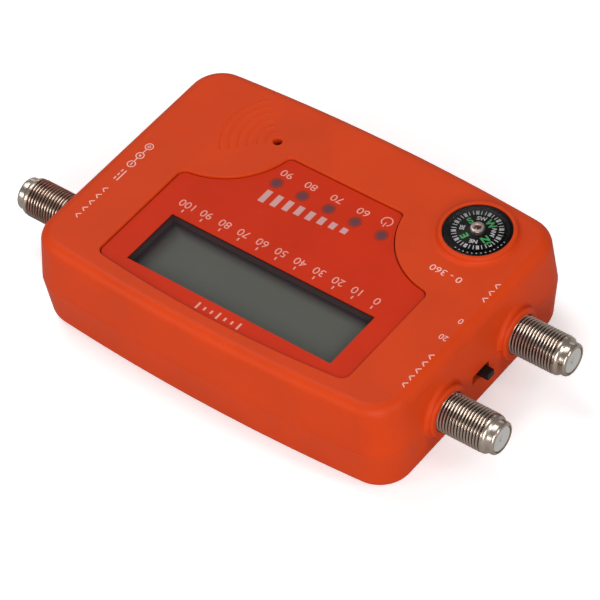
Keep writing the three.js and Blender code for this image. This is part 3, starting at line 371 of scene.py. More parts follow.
def panel(name, place, size, watts):
    light = bpy.data.lights.new(name, "AREA")
    light.shape = "RECTANGLE"
    light.size, light.size_y = size
    light.energy = watts
    obj = bpy.data.objects.new(name, light)
    bpy.context.scene.collection.objects.link(obj)
    place = Vector(place)
    facing = (AIM - place).to_track_quat("-Z", "Y").to_matrix().to_4x4()
    obj.matrix_world = Matrix.Translation(place) @ facing


PANELS = (
    ("camera_side_panel", (-0.66, 0.88, 0.6), (0.8, 0.6), 8.4),
    ("overhead_panel", (0.5, -0.15, 1.0), (0.6, 0.4), 4.2),
    ("low_side_panel", (0.55, 0.95, 0.4), (0.4, 0.35), 3.0),
    ("corner_panel", (-0.85, 0.85, 0.12), (0.3, 0.25), 1.2),
    ("left_end_panel", (-1.0, -0.1, 0.6), (0.2, 0.9), 3.2),
    ("far_side_panel", (0.7, -0.9, 0.35), (0.9, 0.2), 0.8),
)
for name, place, size, watts in PANELS:
    panel(name, place, size, watts)
print("lights:", len(PANELS))

world = bpy.data.worlds.new("sky")
bpy.context.scene.world = world
world.use_nodes = True
fill(world.node_tree.nodes["Background"], {"Color": WHITE, "Strength": SKY_STRENGTH})
bpy.context.scene.view_settings.view_transform = "Standard"

# %% [markdown]
# ## Finishes
# Moulded plastic, plated brass and printed film differ in colour and gloss, but they share the same
# small faults: a fine grain, and slow patches of more or less gloss. One node group makes both from
# the piece's own coordinates, and each material mixes them in its own way.

# %% A node group for the surface's small faults
GRAIN_DETAIL = 2.0
PATCH_DETAIL = 3.0
PATCH_SCALE = 60.0


def noise(start, detail):
    node = new_node(start.id_data, "ShaderNodeTexNoise", (-300, 0), {"Detail": detail})
    wire(start.outputs["Vector"], node.inputs["Vector"])
    return node


def surface_faults():
    group = bpy.data.node_groups.new("Surface faults", "ShaderNodeTree")
    for name, way, kind in (("Vector", "INPUT", "Vector"), ("Grain scale", "INPUT", "Float"),
                            ("Grain", "OUTPUT", "Float"), ("Patches", "OUTPUT", "Float")):
        group.interface.new_socket(name, in_out=way, socket_type=f"NodeSocket{kind}")
    start = new_node(group, "NodeGroupInput", (-600, 0))
    end = new_node(group, "NodeGroupOutput", (400, 0))
    grain = noise(start, GRAIN_DETAIL)
    wire(start.outputs["Grain scale"], grain.inputs["Scale"])
    patches = noise(start, PATCH_DETAIL)
    fill(patches, {"Scale": PATCH_SCALE})
    wire(grain.outputs["Fac"], end.inputs["Grain"])
    wire(patches.outputs["Fac"], end.inputs["Patches"])
    return group


FAULTS = surface_faults()
print("node group:", FAULTS.name)

# %% [markdown]
# A finish is one shader with the group in front of it. The patches move the colour and the
# roughness a little, and the grain drives a bump. Colours are given as they look on a screen, from
# 0 to 255. A mask can tint a finish in places, and it may come from a value kept on the vertices.

# %% One recipe for moulded, printed and plated finishes
PATCH_RANGE = (0.3, 0.7)
BUMP_HEIGHT = 0.0002


def ranged(value, low, high, to_low=0.0, to_high=1.0, kind="LINEAR"):
    node = new_node(value.id_data, "ShaderNodeMapRange", (-400, 500), {
        "From Min": low, "From Max": high, "To Min": to_low, "To Max": to_high,
    }, interpolation_type=kind)
    wire(value, node.inputs["Value"])
    return node.outputs["Result"]


def linear(colour, factor=1.0):
    """A screen colour as the linear light that shaders use, times a factor."""
    shares = [channel / 255 for channel in colour]
    lit = [s / 12.92 if s <= 0.04045 else ((s + 0.055) / 1.055) ** 2.4 for s in shares]
    return (*(min(1.0, channel * factor) for channel in lit), 1)


def coordinates(tree):
    return new_node(tree, "ShaderNodeTexCoord", (-1200, 0)).outputs["Object"]


def finish(name, colour, roughness, metallic=0.0, grain=2500.0, bump=0.02, vary=0.06,
           gloss_vary=0.08, sheen_level=0.5):
    material, tree, shader = new_material(name)
    faults = new_node(tree, "ShaderNodeGroup", (-700, 0), {"Grain scale": grain}, node_tree=FAULTS)
    wire(coordinates(tree), faults.inputs["Vector"])
    patches = faults.outputs["Patches"]
    mix = new_node(tree, "ShaderNodeMix", (-400, 200), {
        "A": linear(colour, 1 - vary), "B": linear(colour, 1 + vary),
    }, data_type="RGBA")
    wire(ranged(patches, *PATCH_RANGE), mix.inputs["Factor"])
    wire(mix.outputs["Result"], shader.inputs["Base Color"])
    low, high = roughness - gloss_vary / 2, roughness + gloss_vary / 2
    wire(ranged(patches, *PATCH_RANGE, low, high), shader.inputs["Roughness"])
    height = new_node(tree, "ShaderNodeBump", (-300, -300),
                      {"Strength": bump, "Distance": BUMP_HEIGHT})
    wire(faults.outputs["Grain"], height.inputs["Height"])
    wire(height.outputs["Normal"], shader.inputs["Normal"])
    fill(shader, {"Metallic": metallic, "Specular IOR Level": sheen_level})
    return material


def metal(name, colour, roughness, grain=900.0, **more):
    return finish(name, colour, roughness, 1.0, grain, **more)


def soft_mask(value, low, high):
    return ranged(value, low, high, kind="SMOOTHSTEP")


def vertex_mask(material, name, low, high):
    kept = new_node(material.node_tree, "ShaderNodeAttribute", (-600, 500), attribute_name=name)
    return soft_mask(kept.outputs["Fac"], low, high)


def tinted(material, mask, colour):
    """Blends a finish's own colour into another one where the mask is 1."""
    tree = material.node_tree
    base = tree.nodes["Principled BSDF"].inputs["Base Color"]
    blend = new_node(tree, "ShaderNodeMix", (-200, 400), {"B": linear(colour)}, data_type="RGBA")
    wire(mask, blend.inputs["Factor"])
    wire(base.links[0].from_socket, blend.inputs["A"])
    wire(blend.outputs["Result"], base)
    return material

# %% [markdown]
# These are the finishes of this meter. Three of them are tinted in places: the case with painted
# shade in its moat, the thread with painted shade in its grooves, and the lamps redder towards
# their rims.

# %% The meter's own finishes
# Painted shade colours: the shade in the case's moat, and the shade in the thread's grooves.
MOAT_SHADE = (160, 28, 8)
GROOVE_SHADE = (92, 64, 54)
LENS_EDGE = (142, 46, 32)

case_plastic = finish("case_plastic", (208, 63, 14), 0.48, bump=0.1, grain=1800.0, sheen_level=0.15)
label_film = finish("label_film", (200, 44, 6), 0.4, bump=0.04, grain=3000.0, sheen_level=0.12)
white_ink = finish("white_ink", (240, 184, 174), 0.5, bump=0.05)
film_ink = finish("film_ink", (226, 152, 138), 0.5, bump=0.05)
bar_ink = finish("bar_ink", (202, 149, 146), 0.5, bump=0.05)
bezel_black = finish("bezel_black", (78, 58, 60), 0.6, bump=0.05, sheen_level=0.2)
display_grey = finish("display_grey", (102, 103, 96), 0.5, vary=0.02, bump=0.0, gloss_vary=0.02,
                      sheen_level=0.15)
diffuser_white = finish("diffuser_white", (226, 228, 220), 0.5)
contact_rubber = finish("contact_rubber", (56, 56, 60), 0.8)
black_plastic = finish("black_plastic", (16, 16, 19), 0.4, bump=0.1, sheen_level=0.4)
cup_black = finish("cup_black", (9, 9, 12), 0.35, bump=0.0, sheen_level=0.12)
card_black = finish("card_black", (6, 7, 8), 0.6, bump=0.0, sheen_level=0.08)
card_white = finish("card_white", (242, 240, 238), 0.6)
card_green = finish("card_green", (84, 196, 112), 0.6)
cap_metal = metal("cap_metal", (226, 202, 194), 0.38, grain=2500.0)
jewel_red = finish("jewel_red", (96, 36, 34), 0.15)
nickel = metal("nickel", (196, 184, 170), 0.25, bump=0.01, vary=0.08)
thread_nickel = metal("thread_nickel", (198, 184, 170), 0.26, bump=0.01)
steel = metal("steel", (170, 172, 175), 0.34)
contact_gold = metal("contact_gold", (206, 168, 96), 0.3, grain=2500.0)
insulator_white = finish("insulator_white", (184, 182, 178), 0.45, vary=0.03)
phenolic = finish("phenolic", (122, 79, 44), 0.6)
board_green = finish("board_green", (30, 90, 53), 0.4)
ferrite = finish("ferrite", (74, 74, 77), 0.6)
capacitor_sleeve = finish("capacitor_sleeve", (43, 60, 107), 0.35)
lamp_plain = finish("lamp_plain", (84, 58, 70), 0.35)
lamp_violet = finish("lamp_violet", (100, 48, 56), 0.35, sheen_level=0.3)
# Painted shade: the case darkens on the floor of its moat, where the film's edge sits deep.
tinted(case_plastic, vertex_mask(case_plastic, "painted_moat_shade", low=0.4, high=0.6), MOAT_SHADE)
# Painted shade: the thread darkens in its grooves, most at the root.
tinted(thread_nickel, vertex_mask(thread_nickel, "painted_groove_shade", low=0.15, high=1.0), GROOVE_SHADE)
tinted(lamp_violet, vertex_mask(lamp_violet, "from_middle", low=0.66, high=1.0), LENS_EDGE)
print("finishes:", len(bpy.data.materials))

# %% [markdown]
# The window and the dome are thin clear plastic. Seen straight on they are all but invisible, and
# towards their edges they catch the light, so their opacity follows the angle of view. That needs
# no refraction, which would only fill the picture with noise.

# %% Clear plastic
CLEAR_COLOUR = (25.5, 25.5, 28.6)
CLEAR_BLEND = 0.25


def clear_plastic(name, straight, edge):
    material = finish(name, CLEAR_COLOUR, 0.36, bump=0.0, gloss_vary=0.04, sheen_level=0.35)
    tree = material.node_tree
    facing = new_node(tree, "ShaderNodeLayerWeight", (-600, 500), {"Blend": CLEAR_BLEND})
    opacity = ranged(facing.outputs["Facing"], 0, 1, straight, edge)
    wire(opacity, tree.nodes["Principled BSDF"].inputs["Alpha"])
    return material


clear_window = clear_plastic("clear_window", 0.04, 0.3)
clear_dome = clear_plastic("clear_dome", 0.03, 0.9)
print("clear finishes:", clear_window.name, clear_dome.name)

# %% [markdown]
# ## Case
# The case is two moulded halves that meet at mid height. Each half is the outline extruded away
# from the parting plane, its far rim bevelled round, its walls leaned in by the mould's draft, and
# the open shell given a wall. The inner wall follows the outer one, so the edge stays even.

# %% Outline of the case and the shell of one half
COLUMN_X = CASE_HALF_LENGTH - CORNER_RADIUS
COLUMN_Y = CASE_HALF_WIDTH - CORNER_RADIUS
CORNER_STEPS = 16
BOW_STEPS = 28
ROUND_SEGMENTS = 10
PARTING_LIP = 0.14
NEARLY_LEVEL = 0.9


def case_stations():
    bow_radius = (COLUMN_X ** 2 + SIDE_BOW ** 2) / (2 * SIDE_BOW)
    lean = math.asin(COLUMN_X / bow_radius)
    centre_y = COLUMN_Y + SIDE_BOW - bow_radius
    reach = bow_radius + CORNER_RADIUS
    half = [
        (COLUMN_X, COLUMN_Y, CORNER_RADIUS, 0, QUARTER - lean, CORNER_STEPS),
        (0, centre_y, reach, QUARTER - lean, 2 * lean, BOW_STEPS),
        (-COLUMN_X, COLUMN_Y, CORNER_RADIUS, QUARTER + lean, QUARTER - lean, CORNER_STEPS),
    ]
    return half + [(-x, -y, radius, start + math.pi, *rest) for x, y, radius, start, *rest in half]


def shell_half(far_z, round_by, draft):
    bm = raised(plan_face(case_stations()), PARTING_Z, far_z)
    rim = [edge for edge in bm.edges if all(at_height(v, far_z) for v in edge.verts)]
    rounded(bm, rim, round_by, ROUND_SEGMENTS)
    depth = abs(far_z - PARTING_Z) - round_by
    for vert in bm.verts:
        along = min(abs(vert.co.z - PARTING_Z) / depth, 1)
        vert.co.x *= 1 - draft * along / CASE_HALF_LENGTH
        vert.co.y *= 1 - draft * along / CASE_HALF_WIDTH
    mouth = [face for face in bm.faces if all(at_height(v, PARTING_Z) for v in face.verts)]
    bmesh.ops.delete(bm, geom=mouth, context="FACES_ONLY")
    bmesh.ops.solidify(bm, geom=bm.faces[:], thickness=WALL)
    outer = [edge for edge in bm.edges if is_outer_lip(edge)]
    rounded(bm, outer, PARTING_LIP, 2)
    print(f"shell half to z {far_z}: {len(bm.faces)} faces, {len(outer)} lip edges")
    return bm


def is_outer_lip(edge):
    if not all(at_height(vert, PARTING_Z) for vert in edge.verts) or len(edge.link_faces) != 2:
        return False
    middle = (edge.verts[0].co + edge.verts[1].co) / 2
    up = max(abs(face.normal.z) for face in edge.link_faces)
    outward = any(face.normal.xy.dot(middle.xy) > 0 and abs(face.normal.z) < STEEP
                  for face in edge.link_faces)
    return up > NEARLY_LEVEL and outward

# %% [markdown]
# Three sockets come out of the end walls, each through a round hole in a low rounded collar that
# both halves share. A collar is a turned boss cut at the parting plane. Once it is joined to the
# wall, the ring where they meet is bevelled, and on an inner corner a bevel makes a fillet.

# %% Socket collars and the holes in the end walls
SOCKETS = {"antenna": (-1, -12.8, 15.6), "satellite": (-1, 14.4, 15.6), "receiver": (1, 14.3, 17.6)}
COLLAR_RADIUS = 6.5
COLLAR_RISE = 1.5
COLLAR_ROUND = 0.75
COLLAR_FILLET = 1.1
COLLAR_REACH = 0.1
SOCKET_HOLE = 4.92
POWER_Y = 2.0
POWER_HOLE = 4.15
PAST = 1.0


def laid(bm, side, y, x=CASE_HALF_LENGTH):
    turn = Matrix.Rotation(side * QUARTER, 4, "Y")
    return moved(bm, side * x, y, PARTING_Z, turn)


def cut_off(bm, height, side):
    """Cuts off what lies above a height for side 1, and what lies below it for side -1."""
    bmesh.ops.bisect_plane(
        bm, geom=bm.verts[:] + bm.edges[:] + bm.faces[:], plane_co=(0, 0, height),
        plane_no=(0, 0, side), clear_outer=True,
    )


def closed(bm):
    bmesh.ops.holes_fill(bm, edges=bm.edges, sides=0)
    bmesh.ops.recalc_face_normals(bm, faces=bm.faces)
    return bm


def half_collar(side, y, upper):
    boss = rod(COLLAR_RADIUS, -PAST, COLLAR_RISE, 96)
    soften_ring(boss, COLLAR_RADIUS, COLLAR_RISE, COLLAR_ROUND, 6)
    laid(boss, side, y)
    cut_off(boss, PARTING_Z, -1 if upper else 1)
    return closed(boss)


def fillet_collars(bm):
    def near_collar(edge):
        middle = (edge.verts[0].co + edge.verts[1].co) / 2
        if abs(middle.x) < CASE_HALF_LENGTH - WALL / 2 or len(edge.link_faces) != 2:
            return False
        across = [math.hypot(middle.y - y, middle.z - PARTING_Z) for side, y, _ in SOCKETS.values()
                  if side * middle.x > 0]
        walls = sorted(abs(face.normal.x) for face in edge.link_faces)
        off = min(abs(r - COLLAR_RADIUS) for r in across)
        return off < COLLAR_REACH and walls[0] < STEEP and walls[1] > NEARLY_LEVEL

    bm.normal_update()
    rings = [edge for edge in bm.edges if near_collar(edge)]
    print(f"  filleted {len(rings)} edges round the collars")
    rounded(bm, rings, COLLAR_FILLET, 6)


def wall_holes():
    reach = WALL + COLLAR_RISE + 2 * PAST
    holes = [laid(rod(SOCKET_HOLE, -reach, reach, 64), side, y) for side, y, _ in SOCKETS.values()]
    return holes + [laid(rod(POWER_HOLE, -reach, reach, 64), 1, POWER_Y)]

# %% [markdown]
# The face has a sunk field with two scallops, one round the compass and one round the sound hole.
# Its outline is laid out once and serves both the recess and the printed film that lies in it.

# %% Outline of the sunk field
FIELD_RIGHT = 33.6
FIELD_LEFT = -35.8
FIELD_BOTTOM = -18.5
FIELD_TOP = 28.9
FIELD_BOW = 2.0
FIELD_ROUND = 2.0
FIELD_LOW_ROUND = 1.3
SCALLOP_RADIUS = 19.4
SCALLOP_Y = -21.35
SOUND_SCALLOP_X = 34.4
COMPASS_SCALLOP_X = -36.3
SCALLOP_STEPS = 32


def field_stations():
    middle = (FIELD_RIGHT + FIELD_LEFT) / 2
    half = (FIELD_RIGHT - FIELD_LEFT) / 2
    top_radius = (half ** 2 + FIELD_BOW ** 2) / (2 * FIELD_BOW)
    top_y = FIELD_TOP + FIELD_BOW - top_radius
    lean = math.asin(half / top_radius)
    top_reach = FIELD_ROUND / top_radius
    high = FIELD_ROUND / SCALLOP_RADIUS
    low = FIELD_LOW_ROUND / SCALLOP_RADIUS
    low_angle = math.asin((FIELD_BOTTOM - SCALLOP_Y) / SCALLOP_RADIUS)
    sound_high = math.acos((FIELD_RIGHT - SOUND_SCALLOP_X) / SCALLOP_RADIUS)
    compass_high = math.acos((FIELD_LEFT - COMPASS_SCALLOP_X) / SCALLOP_RADIUS)
    sound_low = math.pi - low_angle
    low_x = SCALLOP_RADIUS * math.cos(low_angle)
    sound_y = SCALLOP_Y + SCALLOP_RADIUS * math.sin(sound_high)
    compass_y = SCALLOP_Y + SCALLOP_RADIUS * math.sin(compass_high)
    return [
        (SOUND_SCALLOP_X - low_x, FIELD_BOTTOM, FIELD_LOW_ROUND),
        (SOUND_SCALLOP_X, SCALLOP_Y, SCALLOP_RADIUS, sound_low - low,
         sound_high + high - sound_low + low, SCALLOP_STEPS),
        (FIELD_RIGHT, sound_y, FIELD_ROUND),
        (FIELD_RIGHT, FIELD_TOP, FIELD_ROUND),
        (middle, top_y, top_radius, QUARTER - lean + top_reach, 2 * (lean - top_reach),
         SCALLOP_STEPS),
        (FIELD_LEFT, FIELD_TOP, FIELD_ROUND),
        (FIELD_LEFT, compass_y, FIELD_ROUND),
        (COMPASS_SCALLOP_X, SCALLOP_Y, SCALLOP_RADIUS, compass_high - high,
         low_angle + low - compass_high + high, SCALLOP_STEPS),
        (COMPASS_SCALLOP_X + low_x, FIELD_BOTTOM, FIELD_LOW_ROUND),
    ]

# %% [markdown]
# The face is opened for the display, the five lamps, the sounder and the compass.

# %% Openings of the face
DISPLAY_X0, DISPLAY_X1 = -30.0, 26.8
DISPLAY_Y0, DISPLAY_Y1 = 10.2, 26.5
WINDOW_LAP = 1.5
WINDOW_BOTTOM = 24.9
LIP_ROOM = 0.45
UNDER_CEILING = 23.3
LAMP_FIRST_X = 13.0
LAMP_PITCH = 7.38
LAMP_Y = -10.42
LAMP_HOLE = 1.35
LAMP_NAMES = ("lamp_90", "lamp_80", "lamp_70", "lamp_60", "lamp_power")
LAMP_PLACES = [(LAMP_FIRST_X - i * LAMP_PITCH, LAMP_Y) for i in range(len(LAMP_NAMES))]
SOUND_X, SOUND_Y, SOUND_HOLE = 20.63, -20.79, 1.1
COMPASS_X, COMPASS_Y = -34.6, -22.0
above = FACE_Z + PAST
print("lamps at:", [(round(x, 2), y) for x, y in LAMP_PLACES])


def display_hole(lap, z0, z1):
    return box(DISPLAY_X0 - lap, DISPLAY_X1 + lap, DISPLAY_Y0 - lap, DISPLAY_Y1 + lap, z0, z1)


def lamp_holes(z0, z1):
    return [moved(rod(LAMP_HOLE, z0, z1, 32), x, y) for x, y in LAMP_PLACES]

# %% [markdown]
# The deep frame shades the display along its two far edges. The shade is a mask in the display's
# finish, measured from those edges of the opening.

# %% Shade on the display
SHADE_ALONG_Y = 3.5
SHADE_ALONG_X = 6.0
DISPLAY_SHADE = (60, 50, 52)


def shade_display(material, colour):
    tree = material.node_tree
    parts = new_node(tree, "ShaderNodeSeparateXYZ", (-900, 500))
    wire(coordinates(tree), parts.inputs["Vector"])
    far = soft_mask(parts.outputs["Y"], (DISPLAY_Y0 + SHADE_ALONG_Y) * MM, DISPLAY_Y0 * MM)
    end = soft_mask(parts.outputs["X"], (DISPLAY_X1 - SHADE_ALONG_X) * MM, DISPLAY_X1 * MM)
    darker = new_node(tree, "ShaderNodeMath", (-300, 500), operation="MAXIMUM")
    wire(far, darker.inputs[0])
    wire(end, darker.inputs[1])
    tinted(material, darker.outputs["Value"], colour)


shade_display(display_grey, DISPLAY_SHADE)
print("shaded:", display_grey.name)

# %% [markdown]
# The compass sits in a raised collar with a rounded crown and a wide hollow foot. The collar is
# turned with plain corners, which are then softened: outer corners round off, and the inner corner
# at the foot becomes the hollow. A narrower mouth holds the compass down.

# %% Compass collar
COLLAR_BORE = 8.15
COLLAR_WALL_RADIUS = 9.25
COLLAR_TOP_RADIUS = 8.95
COLLAR_MOUTH = 7.95
MOUTH_LOW = 27.45
COLLAR_TOP = 28.0
FOOT_RADIUS = 10.55
FOOT_Z = 26.38
FOOT_SLOPE = 0.3
FOOT_SUNK = 0.02
FOOT_HOLLOW = 0.95
CROWN_ROUND = 0.5
WELL_BOTTOM = 19.3
CUP_BOTTOM = 20.3


def at_compass(bm):
    return moved(bm, COMPASS_X, COMPASS_Y)


def compass_collar():
    boss = turned([
        (0, UNDER_CEILING), (FOOT_RADIUS + FOOT_SLOPE, UNDER_CEILING),
        (FOOT_RADIUS + FOOT_SLOPE, FACE_Z - FOOT_SUNK), (FOOT_RADIUS, FOOT_Z),
        (COLLAR_WALL_RADIUS, FOOT_Z), (COLLAR_TOP_RADIUS, COLLAR_TOP), (0, COLLAR_TOP),
    ], 128)
    soften_ring(boss, COLLAR_TOP_RADIUS, COLLAR_TOP, CROWN_ROUND, 6)
    soften_ring(boss, COLLAR_WALL_RADIUS, FOOT_Z, FOOT_HOLLOW, 8)
    return at_compass(boss)


def compass_bore():
    high = COLLAR_TOP + PAST
    bore = turned([(0, CUP_BOTTOM), (COLLAR_BORE, CUP_BOTTOM), (COLLAR_BORE, MOUTH_LOW),
                   (COLLAR_MOUTH, MOUTH_LOW), (COLLAR_MOUTH, high), (0, high)], 128)
    return at_compass(bore)

# %% [markdown]
# The field is cut from its outline, with a deeper moat along its edge, where the film stops short.

# %% Recess of the field, with a fine moat round the film
MOAT_WIDTH = 0.28
MOAT_DEPTH = 0.4


def drawn_in(bm, width):
    bmesh.ops.recalc_face_normals(bm, faces=bm.faces)
    bmesh.ops.inset_region(
        bm, faces=bm.faces[:], thickness=width, use_boundary=True, use_even_offset=True,
    )
    rim = [face for face in bm.faces if len(face.verts) == 4]
    bmesh.ops.delete(bm, geom=rim, context="FACES")
    return bm


def field_recess():
    deep = raised(plan_face(field_stations()), FIELD_Z - MOAT_DEPTH, above)
    plateau = raised(drawn_in(plan_face(field_stations()), MOAT_WIDTH), FIELD_Z - WALL, FIELD_Z)
    return combined(deep, cuts=[plateau])

# %% [markdown]
# The upper half joins the shell with its collars and screw columns, and cuts all its openings.

# %% Upper half
CORNERS = [(x * COLUMN_X, y * COLUMN_Y) for x in (-1, 1) for y in (-1, 1)]
COLUMN_RADIUS = 4.0
CEILING_MIDDLE = 25.3
PILOT_RADIUS = 1.55
PILOT_TOP = 18.2
MOUTH_ROUND = 0.22
COLLAR_MOUTH_ROUND = 0.25


def keep_value(bm, name, value_of):
    layer = bm.verts.layers.float.new(name)
    for vert in bm.verts:
        vert[layer] = value_of(vert)
    return bm


def upper_half():
    joined = [half_collar(side, y, True) for side, y, _ in SOCKETS.values()]
    joined += [moved(rod(COLUMN_RADIUS, PARTING_Z, CEILING_MIDDLE), x, y) for x, y in CORNERS]
    joined += [
        at_compass(rod(COLLAR_WALL_RADIUS, WELL_BOTTOM, CEILING_MIDDLE, 128)),
        compass_collar(),
    ]
    cuts = wall_holes() + lamp_holes(UNDER_CEILING, above)
    cuts += [moved(rod(PILOT_RADIUS, PARTING_Z - PAST, PILOT_TOP), x, y) for x, y in CORNERS]
    cuts += [
        field_recess(),
        display_hole(LIP_ROOM, UNDER_CEILING, above),
        display_hole(WINDOW_LAP, WINDOW_BOTTOM, above),
        moved(rod(SOUND_HOLE, UNDER_CEILING, above), SOUND_X, SOUND_Y),
        compass_bore(),
    ]
    bm = combined(shell_half(FACE_Z, TOP_ROUND, UPPER_DRAFT), joined, cuts)
    fillet_collars(bm)
    soften_mouths(bm, FACE_Z, MOUTH_ROUND)
    soften_mouths(bm, COLLAR_TOP, COLLAR_MOUTH_ROUND, 4)
    # The moat's floor is marked on the vertices, so that the case's finish paints shade into the
    # moat.
    return keep_value(bm, "painted_moat_shade", lambda vert: float(at_height(vert, FIELD_Z - MOAT_DEPTH)))


piece("case_upper", upper_half(), case_plastic, stands_for=("upper_housing",), evened=True)

# %% [markdown]
# The lower half has the switch slot in its left wall and four sunk screws underneath. Their
# columns stand inside, under the upper half's.

# %% Lower half
SLOT_Y0, SLOT_Y1 = -2.605, 3.645
SLOT_Z0 = 9.95
COUNTERBORE = 2.75
COUNTERBORE_DEPTH = 2.2
SHANK_HOLE = 1.7
SLOT_INNER_X = -47.0
COLUMN_FOOT = 1.0
UNDERSIDE_MOUTH_ROUND = 0.2


def lower_half():
    joined = [half_collar(side, y, False) for side, y, _ in SOCKETS.values()]
    joined += [moved(rod(COLUMN_RADIUS, COLUMN_FOOT, PARTING_Z), x, y) for x, y in CORNERS]
    slot = box(-CASE_HALF_LENGTH - PAST, SLOT_INNER_X, SLOT_Y0, SLOT_Y1, SLOT_Z0, PARTING_Z + PAST)
    cuts = [*wall_holes(), slot]
    cuts += [moved(rod(COUNTERBORE, -PAST, COUNTERBORE_DEPTH), x, y) for x, y in CORNERS]
    cuts += [moved(rod(SHANK_HOLE, 0, PARTING_Z + PAST), x, y) for x, y in CORNERS]
    bm = combined(shell_half(0, BOTTOM_ROUND, LOWER_DRAFT), joined, cuts)
    fillet_collars(bm)
    return soften_mouths(bm, 0, UNDERSIDE_MOUTH_ROUND)


piece("case_lower", lower_half(), case_plastic, stands_for=("lower_housing",), evened=True)

# %% [markdown]
# ## Label, display and lamps
# The field holds a printed film with the display's window under it. The film is the field's own
# outline drawn in by a hair, so that a fine line shows all round.

# %% Face film
def face_film():
    bm = raised(drawn_in(plan_face(field_stations()), MOAT_WIDTH), FIELD_Z, LABEL_Z)
    low, high = FIELD_Z - PAST, LABEL_Z + PAST
    return combined(bm, cuts=[display_hole(0, low, high), *lamp_holes(low, high)])


piece("face_film", face_film(), label_film, stands_for=("face_label",), evened=True)

# %% [markdown]
# Prints are thin raised marks. Each is one flat block or ribbon, and numbers come from Blender's
# own text, made a mesh before it is put in place. Wherever the real meter carries words, plain
# generic marks or numbers take their place.

# %% Marks, ribbons and numbers
INK = 0.02
INK_SUNK = 0.01
CAPITAL_SHARE = 0.69


def add_to(bm, part):
    mesh = bpy.data.meshes.new("part")
    part.to_mesh(mesh)
    part.free()
    bm.from_mesh(mesh)
    bpy.data.meshes.remove(mesh)


def mark(bm, x, y, length, width, z, turn=0.0):
    place = Matrix.Translation((x, y, z + (INK - INK_SUNK) / 2)) @ Matrix.Rotation(turn, 4, "Z")
    size = Matrix.Diagonal((length, width, INK + INK_SUNK, 1))
    bmesh.ops.create_cube(bm, size=1, matrix=place @ size)


def ribbon(bm, x, y, radius, width, z, start, turn, steps=24):
    part = bmesh.new()
    low, high = z - INK_SUNK, z + INK
    corners = [(radius - width / 2, low), (radius + width / 2, low),
               (radius + width / 2, high), (radius - width / 2, high)]
    full = abs(turn - FULL) < NEAR
    spun(part, chain(part, corners, True), steps, turn, use_merge=full)
    moved(closed(part), x, y, 0, Matrix.Rotation(start, 4, "Z"))
    add_to(bm, part)


def lettering(bm, text, x, y, cap_height, z, turn=0.0, weight=0.0, stretch=1.0):
    curve = bpy.data.curves.new("text", "FONT")
    curve.body = text
    curve.size = cap_height / CAPITAL_SHARE
    curve.offset = weight
    curve.align_x = "CENTER"
    curve.align_y = "CENTER"
    curve.extrude = (INK + INK_SUNK) / 2
    obj = bpy.data.objects.new("text", curve)
    bpy.context.scene.collection.objects.link(obj)
    depsgraph = bpy.context.evaluated_depsgraph_get()
    mesh = bpy.data.meshes.new_from_object(obj.evaluated_get(depsgraph))
    part = bmesh.new()
    part.from_mesh(mesh)
    bmesh.ops.remove_doubles(part, verts=part.verts, dist=NEAR / 10)
    place = Matrix.Rotation(turn, 4, "Z") @ Matrix.Diagonal((stretch, 1, 1, 1))
    moved(part, x, y, z + (INK - INK_SUNK) / 2, place)
    bpy.data.objects.remove(obj)
    bpy.data.curves.remove(curve)
    bpy.data.meshes.remove(mesh)
    add_to(bm, part)

# %% [markdown]
# The film carries eight rising bars, the numbers and the power sign under the lamps, a scale from
# 0 to 100 and a row of ticks.

# %% Prints on the film
BAR_BOTTOM = -7.75
BAR_WIDTH = 1.55
BARS = ((-8.75, 1.7), (-5.7, 2.0), (-2.7, 2.35), (0.37, 2.75),
        (3.4, 2.9), (6.45, 3.25), (9.5, 3.67), (12.6, 4.0))
LAMP_NUMBERS = (("90", 12.64), ("80", 5.8), ("70", -1.52), ("60", -8.91))
LAMP_NUMBER_Y, LAMP_NUMBER_HEIGHT, LAMP_NUMBER_STRETCH = -14.0, 1.9, 1.2
SIGN_X, SIGN_Y = -15.1, -14.5
SIGN_RADIUS = 1.3
SIGN_LINE = 0.28
SIGN_GAP = 0.9
SIGN_STROKE, SIGN_LIFT = 1.5, 1.05
SCALE_ZERO_X, SCALE_STEP = -27.6, 5.3
SCALE_Y, SCALE_HEIGHT, SCALE_STRETCH = 6.1, 2.0, 1.1
SCALE_TICK_Y, SCALE_TICK_WIDTH, SCALE_TICK_LENGTH = 8.3, 0.35, 0.9
ROW_X, ROW_Y, ROW_STEP = -1.15, 29.0, 1.9
ROW_TICK_WIDTH, ROW_TICK_SHORT, ROW_TICK_LONG = 0.5, 1.0, 2.0


def film_bars():
    bm = bmesh.new()
    for x, height in BARS:
        mark(bm, x, BAR_BOTTOM + height / 2, BAR_WIDTH, height, LABEL_Z)
    return bm


def film_prints():
    bm = bmesh.new()
    for text, x in LAMP_NUMBERS:
        lettering(bm, text, x, LAMP_NUMBER_Y, LAMP_NUMBER_HEIGHT, LABEL_Z,
                  stretch=LAMP_NUMBER_STRETCH)
    ribbon(bm, SIGN_X, SIGN_Y, SIGN_RADIUS, SIGN_LINE, LABEL_Z,
           QUARTER + SIGN_GAP / 2, FULL - SIGN_GAP)
    mark(bm, SIGN_X, SIGN_Y + SIGN_LIFT, SIGN_LINE, SIGN_STROKE, LABEL_Z)
    for i in range(11):
        x = SCALE_ZERO_X + SCALE_STEP * i
        lettering(bm, str(10 * i), x, SCALE_Y, SCALE_HEIGHT, LABEL_Z, stretch=SCALE_STRETCH)
        mark(bm, x, SCALE_TICK_Y, SCALE_TICK_WIDTH, SCALE_TICK_LENGTH, LABEL_Z)
    for i in range(-3, 4):
        length = ROW_TICK_SHORT if i % 3 else ROW_TICK_LONG
        mark(bm, ROW_X + ROW_STEP * i, ROW_Y, ROW_TICK_WIDTH, length, LABEL_Z)
    return bm


piece("film_bars", film_bars(), bar_ink)
piece("film_prints", film_prints(), film_ink)

# %% [markdown]
# The case carries arrows at the sockets, the switch's two numbers, the compass's range and the
# signs for direct current and polarity.

